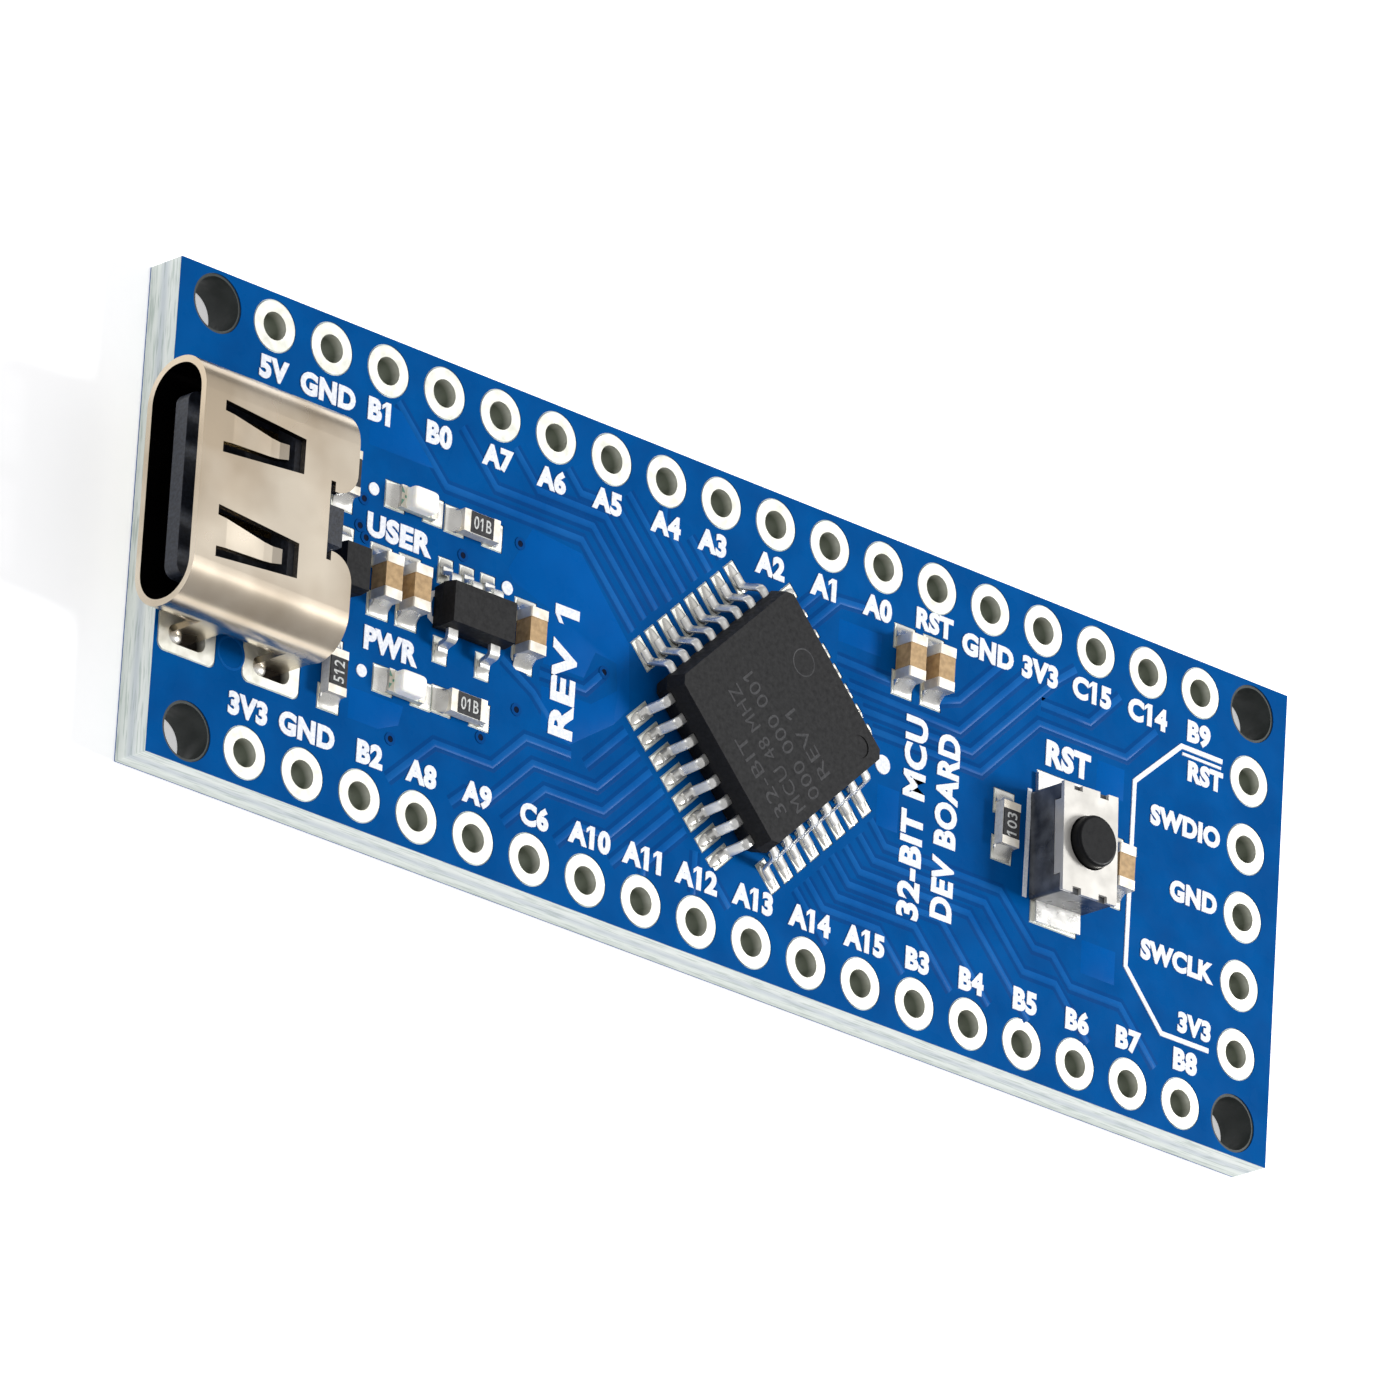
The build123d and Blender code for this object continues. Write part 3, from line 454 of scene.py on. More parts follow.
LOOKS = {
    "laminate": laminate_material(),
    "solder_mask": mask_material("solder_mask_blue", rgb(0, 74, 140), rgb(0, 83, 153)),
    "solder_finish": levelled_solder("levelled_solder", rgb(138, 144, 130)),
    "nickel_shell": shell_material(),
    "connector_plastic": moulding("liquid_crystal_polymer", rgb(26, 29, 36), rgb(44, 49, 60), (0.35, 0.5)),
    "spring_steel": metal("spring_steel", rgb(170, 168, 162), rgb(205, 202, 196), (0.22, 0.36)),
    "gold_contact": metal("gold_flash", rgb(200, 160, 90), rgb(232, 196, 122), (0.2, 0.35)),
    "package_black": moulding("epoxy_mould", rgb(22, 22, 23), rgb(30, 30, 31), (0.5, 0.7),
                              depth=0.003, specular=0.18),
    "tinned_lead": metal("tinned_lead", rgb(226, 225, 220), rgb(252, 251, 247), (0.24, 0.36),
                         per_mm=1.6, depth=0.001, metallic=0.85),
    "copper": metal("copper", rgb(176, 104, 70), rgb(214, 140, 100), (0.25, 0.4)),
    "silicon": metal("silicon", rgb(70, 74, 82), rgb(104, 108, 118), (0.1, 0.2)),
    "led_crystal": moulding("led_crystal", rgb(180, 176, 120), rgb(220, 214, 150), (0.15, 0.3)),
    "capacitor_ceramic": moulding("barium_titanate", rgb(168, 136, 92), rgb(196, 162, 114), (0.4, 0.6),
                                  per_mm=5.0, depth=0.002),
    "chip_terminal": metal("chip_end_cap", rgb(226, 218, 202), rgb(248, 243, 232), (0.3, 0.45),
                           depth=0.003, metallic=0.55),
    "alumina": moulding("alumina", rgb(222, 220, 212), rgb(240, 239, 233), (0.45, 0.6)),
    "resistor_coating": moulding("glass_overcoat", rgb(26, 26, 28), rgb(44, 44, 47), (0.25, 0.4),
                                 per_mm=8.0, depth=0.003),
    "led_base": moulding("led_substrate", rgb(206, 214, 200), rgb(232, 236, 226), (0.4, 0.6), per_mm=5.0),
    "led_lens": lens_material(),
    "switch_plastic": moulding("switch_nylon", rgb(52, 54, 58), rgb(104, 107, 112), (0.2, 0.4),
                               per_mm=1.3, depth=0.003, specular=0.6),
    "switch_cover": metal("switch_steel", rgb(202, 199, 192), rgb(218, 215, 208), (0.3, 0.42),
                          per_mm=1.0, depth=0.001, metallic=0.4),
    "switch_button": moulding("button_nylon", rgb(9, 10, 12), rgb(15, 16, 18), (0.34, 0.5),
                              per_mm=8.0, depth=0.002, specular=0.14),
}
# Solder for the connector's leg slots, with a deeper painted shade down inside them.
SLOT_SOLDER_DEEP_SHADE = levelled_solder("levelled_solder_in_slots", rgb(58, 52, 48))
SILK = moulding("printed_ink", rgb(225, 230, 240), rgb(250, 251, 254), (0.5, 0.7), per_mm=10.0)
TRACE = mask_material("mask_over_trace", rgb(8, 84, 156), rgb(22, 96, 168))
CLEARANCE = mask_material("mask_over_clearance", rgb(4, 66, 130), rgb(8, 74, 140))
POUR = mask_material("mask_over_pour", rgb(0, 82, 156), rgb(0, 88, 165))
SOLDER = metal("reflowed_solder", rgb(216, 214, 206), rgb(246, 244, 238), (0.22, 0.32),
               per_mm=1.0, depth=0.0012, metallic=0.85)
# Painted shade: a dark disc stands for the shaded inside of each open via.
VIA_HOLE_SHADE = moulding("via_hole_painted_shade", rgb(0, 12, 36), rgb(2, 20, 52), (0.5, 0.7), specular=0.05)
LASER = moulding("laser_marking", rgb(46, 46, 48), rgb(58, 58, 60), (0.6, 0.8), per_mm=14.0, depth=0.006)
CODE_INK = moulding("code_ink", rgb(176, 178, 176), rgb(222, 224, 222), (0.45, 0.6), per_mm=12.0)
GREEN_MARK = moulding("green_mark", rgb(92, 158, 132), rgb(140, 190, 168), (0.4, 0.6), per_mm=8.0)


ROUNDED_PACKAGES = ("regulator_body", "diode_body")
PACKAGE_EDGE = 0.05
PACKAGE_EDGE_STEPS = 3
SHARP_ANGLE = 30
WELD_REACH = 0.001


def soften_edges(piece):
    """Moulded corners catch a thin line of light."""
    weld = piece.modifiers.new("weld", "WELD")
    weld.merge_threshold = WELD_REACH * MM
    bevel = piece.modifiers.new("moulded_edge", "BEVEL")
    bevel.width = PACKAGE_EDGE * MM
    bevel.segments = PACKAGE_EDGE_STEPS
    bevel.angle_limit = math.radians(SHARP_ANGLE)
    bevel.harden_normals = True


def dress_cad_nodes():
    """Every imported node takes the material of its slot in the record."""
    for part in frame["record"]["subparts"]:
        mesh = NODES[part["node"]].data
        mesh.materials.clear()
        mesh.materials.append(LOOKS[part["material_slot"]])
    # The connector's leg slots take the solder with the deeper painted shade.
    NODES["usb_leg_slots"].data.materials[0] = SLOT_SOLDER_DEEP_SHADE
    for name in ROUNDED_PACKAGES:
        soften_edges(NODES[name])


# ---------------------------------------------------------------- shapes in mesh code


# The least cosine of half a bend: sharper bends are cut short instead of running out to a long point.
MITRE_LIMIT = 0.4
# Edges that turn by less than this many degrees are shaded smooth: on print, cast pieces and solder.
SMOOTH_PRINT = 35.0
SMOOTH_CAST = 50.0
SMOOTH_SOLDER = 60.0


def place(x, y, degrees=0.0, z=0.0):
    """A local frame at a point, turned about the upright axis."""
    return Matrix.Translation((x, y, z)) @ Matrix.Rotation(math.radians(degrees), 4, "Z")


def add_piece(name, mesh, material, smooth=SMOOTH_PRINT):
    """Turns millimetre geometry into a piece that rides on the board."""
    bmesh.ops.recalc_face_normals(mesh, faces=mesh.faces[:])
    bmesh.ops.scale(mesh, vec=(MM, MM, MM), verts=mesh.verts[:])
    data = bpy.data.meshes.new(name)
    mesh.to_mesh(data)
    mesh.free()
    data.polygons.foreach_set("use_smooth", [True] * len(data.polygons))
    data.set_sharp_from_angle(angle=math.radians(smooth))
    data.materials.append(material)
    piece = bpy.data.objects.new(name, data)
    bpy.context.scene.collection.objects.link(piece)
    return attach(piece, "board")


def inset(outline, distance):
    """The closed outline with every corner moved inwards."""
    moved = []
    for index, point in enumerate(outline):
        before = (point - outline[index - 1]).normalized()
        after = (outline[(index + 1) % len(outline)] - point).normalized()
        left = Vector((-before.y - after.y, before.x + after.x)).normalized()
        corner = max(left.dot(Vector((-before.y, before.x))), MITRE_LIMIT)
        moved.append(point + left * (distance / corner))
    return moved


def join_loops(mesh, one, two):
    """A band of faces between two closed loops of as many points."""
    for k in range(len(one)):
        after = (k + 1) % len(one)
        mesh.faces.new((one[k], one[after], two[after], two[k]))


def add_prism(mesh, outline, low, high, slope):
    """A closed plate with sloping sides over a counter-clockwise outline."""
    base = [mesh.verts.new((p.x, p.y, low)) for p in outline]
    top = [mesh.verts.new((p.x, p.y, high)) for p in inset(outline, slope)]
    mesh.faces.new(top)
    mesh.faces.new(base[::-1])
    join_loops(mesh, base, top)


def ribbon(points, width):
    """The counter-clockwise outline of a line of even width with mitred bends."""
    points = [Vector(p) for p in points]
    right_side, left_side = [], []
    for index, point in enumerate(points):
        before = (point - points[max(index - 1, 0)]).normalized()
        after = (points[min(index + 1, len(points) - 1)] - point).normalized()
        before = before if before.length else after
        after = after if after.length else before
        left = Vector((-before.y - after.y, before.x + after.x)).normalized()
        reach = width / 2 / max(left.dot(Vector((-before.y, before.x))), MITRE_LIMIT)
        right_side.append(point - left * reach)
        left_side.append(point + left * reach)
    return right_side + left_side[::-1]


WASHER_SIDES = 40
OUTER_DRAFT = 0.97
INNER_DRAFT = 1.05


def add_washer(mesh, x, y, inner, outer, low, high):
    """A closed ring, or a disc where inner is nought."""
    def loop(radius, z):
        turns = (math.tau * k / WASHER_SIDES for k in range(WASHER_SIDES))
        return [mesh.verts.new((x + radius * math.cos(t), y + radius * math.sin(t), z)) for t in turns]
    loops = [loop(outer, low), loop(outer * OUTER_DRAFT, high)]
    if inner:
        loops += [loop(inner * INNER_DRAFT, high), loop(inner, low)]
        pairs = zip(loops, loops[1:] + loops[:1])
    else:
        mesh.faces.new(loops[1])
        mesh.faces.new(loops[0][::-1])
        pairs = [(loops[0], loops[1])]
    for one, two in pairs:
        join_loops(mesh, one, two)


# A ramp narrows and falls towards its toe, is higher in its middle, and never thinner than a film.
FILLET_NARROWING = 0.12
FILLET_FALL = 1.9
FILLET_CROWN = 0.55
FILLET_CROWN_POWER = 3
FILLET_FILM = 0.012
FILLET_FILM_POWER = 6
FILLET_SINK = 0.02


def add_fillet(mesh, where, width, length, height, steps=6, across=8):
    """A concave solder ramp that falls from a terminal's face, at local x = 0, to its land."""
    rows = []
    for i in range(steps + 1):
        along = i / steps
        half = width / 2 * (1 - FILLET_NARROWING * along)
        row = []
        for j in range(across + 1):
            side = 2 * j / across - 1
            crown = 1 - FILLET_CROWN * abs(side) ** FILLET_CROWN_POWER
            film = FILLET_FILM * (1 - abs(side) ** FILLET_FILM_POWER)
            z = max(height * (1 - along) ** FILLET_FALL * crown, film)
            row.append(mesh.verts.new(where @ Vector((length * along, half * side, z))))
        rows.append(row)
    for one, two in zip(rows, rows[1:]):
        for j in range(across):
            mesh.faces.new((one[j], two[j], two[j + 1], one[j + 1]))
    rim = rows[0] + [r[-1] for r in rows[1:]] + rows[-1][-2::-1] + [r[0] for r in rows[-2:0:-1]]
    floor = [mesh.verts.new((v.co.x, v.co.y, where.translation.z - FILLET_SINK)) for v in rim]
    join_loops(mesh, rim, floor)
    mesh.faces.new(floor[::-1])


MOUND_UNEVENNESS = 0.07
MOUND_WAVES = 1.3
MOUND_ROUNDNESS = 0.7
MOUND_SINK = 0.03


def add_mound(mesh, where, half_x, half_y, height, rings=7, sides=28, seed=0.0):
    """A domed, slightly uneven puddle of solder."""
    loops = []
    for ring in range(1, rings + 1):
        reach = ring / rings
        loop = []
        for k in range(sides):
            turn = math.tau * k / sides
            around = Vector((math.cos(turn) * MOUND_WAVES, math.sin(turn) * MOUND_WAVES, seed))
            wobble = 1 + MOUND_UNEVENNESS * noise(around)
            x = half_x * reach * math.cos(turn) * wobble
            y = half_y * reach * math.sin(turn) * wobble
            z = height * (1 - reach ** 2) ** MOUND_ROUNDNESS
            loop.append(mesh.verts.new(where @ Vector((x, y, z))))
        loops.append(loop)
    top = mesh.verts.new(where @ Vector((0, 0, height)))
    for k in range(sides):
        mesh.faces.new((top, loops[0][k], loops[0][(k + 1) % sides]))
    loops.append([mesh.verts.new(v.co - Vector((0, 0, MOUND_SINK))) for v in loops[-1]])
    for one, two in zip(loops, loops[1:]):
        join_loops(mesh, one, two)
    mesh.faces.new(loops[-1])


# ---------------------------------------------------------------- lettering


# The letters' spacing and weights, and the flag of a figure one, in letter heights.
LETTER_GAP = 1.08
LETTER_CURVE_STEPS = 4
LABEL_BOLD = 0.055
TITLE_BOLD = 0.045
CODE_BOLD = 0.01
FLAG_JOIN = 0.01
FLAG_REACH = 0.16
FLAG_DROP = 0.14
FLAG_THICK = 0.48


def new_text(words, bold):
    """A mesh of a line of text, one unit tall and one thick."""
    curve = bpy.data.curves.new("words", "FONT")
    curve.body = words
    curve.size = 1.0
    curve.offset = bold
    curve.extrude = 0.5
    curve.resolution_u = LETTER_CURVE_STEPS
    curve.space_character = LETTER_GAP
    holder = bpy.data.objects.new("words", curve)
    bpy.context.scene.collection.objects.link(holder)
    bpy.context.view_layer.update()
    flat = bpy.data.meshes.new_from_object(holder)
    bpy.data.objects.remove(holder)
    bpy.data.curves.remove(curve)
    return flat


def text_span(words, bold):
    """Where a line of text starts and ends, in its own units."""
    flat = new_text(words, bold)
    xs = [v.co.x for v in flat.vertices]
    bpy.data.meshes.remove(flat)
    return min(xs), max(xs)


def add_one_flag(mesh, turned, right, top):
    """The slanting stroke at the head of a figure one, which the font leaves out."""
    left = right - FLAG_REACH
    middle = top - FLAG_DROP
    corners = ((right, top), (left, middle), (left, middle - FLAG_DROP), (right, middle))
    low = [mesh.verts.new(turned @ Vector((x, y, -FLAG_THICK))) for x, y in corners]
    high = [mesh.verts.new(turned @ Vector((x, y, FLAG_THICK))) for x, y in corners]
    mesh.faces.new(high)
    mesh.faces.new(low[::-1])
    join_loops(mesh, low, high)


def add_words(mesh, words, where, cap, bold=LABEL_BOLD, length=None, anchor=0.5, rise=SILK_RISE):
    """A line of print whose middle is at where, or whose right end is there if anchor is 1."""
    flat = new_text(words, bold)
    xs = [v.co.x for v in flat.vertices]
    ys = [v.co.y for v in flat.vertices]
    ones = [index for index, letter in enumerate(words) if letter == "1"]
    flags = [text_span(words[:index + 1], bold)[1] for index in ones]
    stem = text_span("1", bold)
    tall = cap / (max(ys) - min(ys))
    wide = length / (max(xs) - min(xs)) if length else tall
    middle = Matrix.Translation((-(min(xs) + (max(xs) - min(xs)) * anchor), -(max(ys) + min(ys)) / 2, 0))
    scale = Matrix.Diagonal((wide, tall, rise + PRINT_SINK, 1))
    lift = Matrix.Translation((0, 0, (rise - PRINT_SINK) / 2))
    turned = where @ lift @ scale @ middle
    flat.transform(turned)
    mesh.from_mesh(flat)
    bpy.data.meshes.remove(flat)
    for right in flags:
        add_one_flag(mesh, turned, right - stem[1] + stem[0] + FLAG_JOIN, max(ys))


LABEL_ROW_Y = 6.06
LABEL_CAP = 0.84
UPPER_LABELS = (
    ("5V", -21.5), ("GND", -19.1), ("B1", -16.8), ("B0", -14.1), ("A7", -11.45), ("A6", -9.0),
    ("A5", -6.45), ("A4", -3.75), ("A3", -1.6), ("A2", 1.1), ("A1", 3.6), ("A0", 6.15),
    ("GND", 11.4), ("3V3", 13.9), ("C15", 16.4), ("C14", 19.1), ("B9", 21.6),
)
LOWER_LABELS = (
    ("3V3", -21.6), ("GND", -19.0), ("B2", -16.2), ("A8", -13.9), ("A9", -11.4), ("C6", -8.8),
    ("A10", -6.3), ("A11", -3.9), ("A12", -1.4), ("A13", 1.2), ("A14", 3.85), ("A15", 6.4),
    ("B3", 8.9), ("B4", 11.45), ("B5", 14.0), ("B6", 16.5), ("B7", 18.95), ("B8", 21.7),
)
DEBUG_LABELS = (("RST", 4.6), ("SWDIO", 2.5), ("GND", 0.03), ("SWCLK", -2.52), ("3V3", -4.68))
DEBUG_LABELS_END_X = 22.85
DEBUG_CAP = 0.78
# Words, x, y, height and, where it is set, length.
NAMES = (
    ("RST", 8.85, 6.3, 0.8, None), ("RST", 15.45, 3.25, 0.98, None),
    ("USER", -15.55, 2.0, 0.86, 2.9), ("PWR", -15.6, -2.02, 0.86, 2.4),
)
TITLES = (
    ("REV 1", -7.9, -0.6, 1.1, 4.7), ("32-BIT MCU", 8.3, -1.0, 1.05, 7.35),
    ("DEV BOARD", 9.85, -0.9, 1.05, 6.8),
)
SILK_WIDTH = 0.2
# The bar over the reset pin's name in the debug header.
RESET_BAR = ((20.85, 5.14), (22.75, 5.14))
RESET_BAR_WIDTH = 0.12
SILK_DRAFT = 0.01
SILK_LINES = (
    ((22.8, 5.4), (20.8, 5.4), (18.65, 3.45), (18.65, -3.4), (20.5, -5.35), (22.8, -5.35)),
    ((13.72, -2.3), (13.72, 1.7)),
    ((-13.72, 0.5), (-13.98, 0.35), (-14.05, 0.05), (-13.98, -0.45), (-13.72, -0.6)),
)
# Each dot's x, y and radius.
SILK_DOTS = ((-16.8, 3.27, 0.23), (-16.8, -3.25, 0.23), (-10.65, 1.6, 0.25), (6.8, 0.5, 0.35))


def print_labels():
    """Pin names beside the holes, and the names of the lights and the button."""
    mesh = bmesh.new()
    for words, x in UPPER_LABELS:
        add_words(mesh, words, place(x, LABEL_ROW_Y, z=MASK_TOP), LABEL_CAP)
    for words, x in LOWER_LABELS:
        add_words(mesh, words, place(x, -LABEL_ROW_Y, z=MASK_TOP), LABEL_CAP)
    for words, y in DEBUG_LABELS:
        add_words(mesh, words, place(DEBUG_LABELS_END_X, y, z=MASK_TOP), DEBUG_CAP, anchor=1.0)
    for words, x, y, cap, length in NAMES:
        add_words(mesh, words, place(x, y, z=MASK_TOP), cap, length=length)
    add_piece("silk_labels", mesh, SILK)


def print_titles():
    """Generic words where the real board has its maker's and its own name."""
    mesh = bmesh.new()
    for words, x, y, cap, length in TITLES:
        add_words(mesh, words, place(x, y, 90, MASK_TOP), cap, TITLE_BOLD, length)
    add_piece("silk_titles", mesh, SILK)


def print_lines():
    """The line round the debug header, the outlines of parts, and the dots that mark pin one."""
    mesh = bmesh.new()
    low, high = MASK_TOP - PRINT_SINK, MASK_TOP + SILK_RISE
    for points in SILK_LINES:
        add_prism(mesh, ribbon(points, SILK_WIDTH), low, high, SILK_DRAFT)
    add_prism(mesh, ribbon(RESET_BAR, RESET_BAR_WIDTH), low, high, SILK_DRAFT)
    for x, y, radius in SILK_DOTS:
        add_washer(mesh, x, y, 0, radius, low, high)
    add_piece("silk_lines", mesh, SILK)


# ---------------------------------------------------------------- copper under the mask


# How wide and high the lacquer stands over copper and beside it, and how far its edges slope.
TRACE_WIDTH = 0.3
TRACE_RISE = 0.02
TRACE_DRAFT = 0.07
CLEARANCE_WIDTH = 0.62
CLEARANCE_RISE = 0.003
CLEARANCE_DRAFT = 0.06
POUR_RISE = 0.008
POUR_DRAFT = 0.08
# Traces as they show on the real board, each a run of straight stretches.
TRACES = (
    ((-4.9, 1.8), (-7.45, 4.35), (-13.6, 4.35), (-16.2, 6.9)),
    ((-4.4, 2.4), (-7.0, 5.0), (-11.4, 5.0), (-13.3, 6.9)),
    ((-3.9, 2.9), (-6.45, 5.5), (-9.5, 5.5), (-10.9, 6.9)),
    ((-3.3, 3.4), (-5.9, 6.0), (-7.6, 6.0), (-8.5, 6.9)),
    ((-2.7, 3.9), (-5.7, 6.9)),
    ((-2.2, 4.5), (-3.8, 6.1), (-3.8, 6.9)),
    ((-1.6, 5.0), (-2.6, 6.0)),
    ((-1.1, 5.6), (-1.6, 6.3)),
    ((-4.9, -1.8), (-6.7, -3.6)),
    ((-7.3, -3.4), (-9.4, -3.4), (-10.8, -4.8), (-13.4, -4.8), (-15.7, -7.0)),
    ((-4.3, -2.4), (-6.1, -4.2), (-9.0, -4.2), (-10.9, -6.1), (-11.9, -6.1), (-12.9, -7.0)),
    ((-3.7, -2.9), (-5.75, -4.95), (-8.4, -4.95), (-10.5, -7.0)),
    ((-3.1, -3.4), (-5.5, -5.8), (-6.9, -5.8), (-8.0, -6.9)),
    ((-2.6, -4.0), (-5.5, -6.9)),
    ((-2.0, -4.5), (-3.8, -6.3), (-3.8, -6.9)),
    ((-1.5, -5.1), (-1.5, -6.9)),
    ((-0.9, -5.6), (0.5, -7.0)),
    ((6.4, -1.6), (7.15, -2.4), (12.6, -2.4), (14.3, -4.0), (15.2, -4.0), (16.1, -4.9), (18.5, -4.9),
     (20.5, -6.9)),
    ((5.9, -2.3), (6.65, -3.05), (11.9, -3.05), (13.85, -5.0), (15.4, -5.0), (17.3, -6.9)),
    ((5.3, -2.9), (6.05, -3.65), (11.2, -3.65), (14.4, -6.85)),
    ((4.7, -3.4), (5.55, -4.25), (9.9, -4.25), (12.5, -6.85)),
    ((4.2, -4.0), (5.05, -4.85), (8.7, -4.85), (10.7, -6.85)),
    ((3.6, -4.6), (4.45, -5.45), (7.05, -5.45), (8.5, -6.9)),
    ((3.1, -5.1), (4.85, -6.85)),
    ((2.6, 5.0), (3.9, 6.3)),
    ((3.1, 4.5), (4.4, 5.8), (5.9, 5.9)),
    ((4.4, 3.7), (7.0, 3.65)),
    ((5.0, 2.9), (10.3, 2.8), (13.4, 5.9)),
    ((5.7, 2.2), (10.9, 2.2), (14.6, 5.9), (15.9, 6.9)),
    ((6.2, 1.6), (11.4, 1.6), (14.0, 4.2), (18.2, 4.2), (19.6, 5.6)),
    ((9.0, 3.5), (10.2, 3.9), (12.2, 5.9)),
    ((14.0, 4.95), (16.4, 4.95), (17.8, 6.35)),
    ((-9.0, -0.95), (-6.9, -0.9), (-6.1, -0.05)),
    ((-10.7, -0.9), (-9.2, -1.7), (-8.2, -2.6)),
)
POURS = (
    ((-9.7, 4.1), (-10.7, 2.3), (-10.4, 1.9), (-8.7, 1.4), (-8.9, -0.6), (-6.95, -0.55), (-6.5, 0.5),
     (-5.6, 0.4), (-5.5, -0.5), (-6.6, -1.3), (-8.9, -1.3), (-8.8, -2.9), (-7.4, -3.1), (-5.5, -1.8),
     (-4.8, -1.0), (-5.0, 1.3), (-7.4, 3.9)),
    ((-17.2, 5.5), (-17.2, 4.75), (-14.2, 4.75), (-14.1, 4.9), (-15.6, 6.4), (-16.3, 6.5)),
    ((-17.3, -3.9), (-17.3, -5.1), (-15.9, -5.1), (-15.0, -4.7), (-14.8, -3.9)),
    ((4.4, 5.2), (4.4, 4.3), (6.5, 4.3), (6.5, 5.2)),
    ((6.6, -0.2), (6.6, -1.8), (7.7, -1.8), (7.7, -0.2)),
    ((16.5, -3.0), (16.5, -4.3), (18.2, -4.3), (18.2, -3.0)),
    ((16.8, 3.75), (16.8, 2.5), (18.2, 2.5), (18.2, 3.75)),
)
VIAS = (
    (-17.2, 2.8), (-17.3, 1.8), (-17.0, 1.45), (-12.7, 2.15), (-10.2, 3.35),
    (-9.9, -2.55), (-11.4, -4.0), (-15.35, -5.25), (-6.1, -0.05),
)
VIA_HOLE = 0.12
VIA_RING = (0.11, 0.23)
VIA_HOLE_RISE = 0.012
VIA_RING_RISE = 0.024
FIDUCIAL = (-22.47, -4.35)
FIDUCIAL_RING = (0.5, 0.62)
FIDUCIAL_RISE = 0.012
TRACE_STOP = 6.7


def clear_of_rings(points):
    """A trace stops just short of the header rings."""
    *route, before, end = [Vector(point) for point in points]
    if abs(end.y) > TRACE_STOP:
        end = before.lerp(end, (TRACE_STOP - abs(before.y)) / (abs(end.y) - abs(before.y)))
    return [*route, before, end]


def lay_copper():
    """Traces and areas stand up under the lacquer, with the bare laminate's darker gaps beside them."""
    lines, gaps, areas = bmesh.new(), bmesh.new(), bmesh.new()
    low = MASK_TOP - PRINT_SINK
    for points in map(clear_of_rings, TRACES):
        add_prism(gaps, ribbon(points, CLEARANCE_WIDTH), low, MASK_TOP + CLEARANCE_RISE, CLEARANCE_DRAFT)
        add_prism(lines, ribbon(points, TRACE_WIDTH), low, MASK_TOP + TRACE_RISE, TRACE_DRAFT)
    for points in POURS:
        add_prism(areas, [Vector(p) for p in points], low, MASK_TOP + POUR_RISE, POUR_DRAFT)
    add_washer(lines, *FIDUCIAL, *FIDUCIAL_RING, low, MASK_TOP + FIDUCIAL_RISE)
    add_piece("mask_over_traces", lines, TRACE)
    add_piece("mask_over_gaps", gaps, CLEARANCE)
    add_piece("mask_over_pours", areas, POUR)


def add_vias():
    """Small plated holes that the lacquer runs into, each a disc of painted shade where the hole is, in a
    darker blue ring.
    """
    rings, holes = bmesh.new(), bmesh.new()
    for x, y in VIAS:
        add_washer(rings, x, y, *VIA_RING, MASK_TOP - PRINT_SINK, MASK_TOP + VIA_RING_RISE)
        add_washer(holes, x, y, 0, VIA_HOLE, MASK_TOP - PRINT_SINK, MASK_TOP + VIA_HOLE_RISE)
    add_piece("via_rings", rings, CLEARANCE)
    add_piece("via_holes", holes, VIA_HOLE_SHADE)


# ---------------------------------------------------------------- solder and leads


CHIP_HALF = 0.8
CHIP_LAND_OUT = 1.28
CHIP_WIDTH = 0.86
# Solder starts this far inside the face that it wets.
FACE_OVERLAP = 0.005
# Every two-ended chip's x, y, turn and height of solder: capacitors, resistors, then the LEDs.
CHIPS = (
    (-16.28, 0.1, 90, 0.5), (-15.0, 0.1, 90, 0.5), (-9.78, 0.13, 90, 0.5),
    (7.5, 4.5, 90, 0.5), (8.86, 4.5, 90, 0.5), (17.8, -0.15, 90, 0.5),
    (-18.15, 3.4, 90, 0.3), (-18.15, -3.8, 90, 0.3), (-12.3, 3.25, 0, 0.3),
    (-12.35, -3.25, 0, 0.3), (12.55, -0.05, 90, 0.3),
    (-14.98, 3.3, 0, 0.16), (-14.98, -3.3, 0, 0.16),
)
MCU_CENTRE = (0.73, 0.04)
MCU_TURN = 45
MCU_SIDE_LEADS = 8
MCU_PITCH = 0.8
MCU_TIP = 4.52
MCU_FOOT_MIDDLE = 4.4
# Half lengths of a puddle on a lead's land, and its height.
MCU_PUDDLE = (0.56, 0.22, 0.08)
LEAD_WIDTH = 0.37
LEAD_THICK = 0.14
LEAD_BEND = 0.14
LEAD_SOFTNESS = 0.3
# A lead's corners: the distance from the package's centre, and 1 at its shoulder or 0 on the board.
LEAD_CORNERS = ((3.3, 1), (3.8, 1), (4.06, 0), (MCU_TIP, 0))
# For each part: its place, its feet, how far out they end, and their solder's width, length and height.
REGULATOR = (-12.47, -0.08)
REGULATOR_LEADS = ((-0.95, 1), (0.0, 1), (0.95, 1), (-0.95, -1), (0.95, -1))
REGULATOR_END = 1.5
REGULATOR_SOLDER = (0.55, 0.34, 0.16)
DIODE = (-18.02, -0.1)
DIODE_END = 1.29
DIODE_SOLDER = (0.8, 0.34, 0.18)
SWITCH = (15.14, -0.3)
SWITCH_TURN = 2.5
SWITCH_END = 2.42
SWITCH_SOLDER = (2.05, 0.32, 0.14)
# The connector's legs, and the pool of solder in each slot: its half lengths and height, shift and turn.
USB_Y = 0.06
LEG_X = (-24.4, -20.7)
LEG_PAD_Y = 4.435
LEG_POOL_DEPTH = 0.28
LEG_POOL = (0.42, 0.33, 0.2)
LEG_POOL_SHIFT = (-0.42, 0.06)
LEG_POOL_TURN = 8


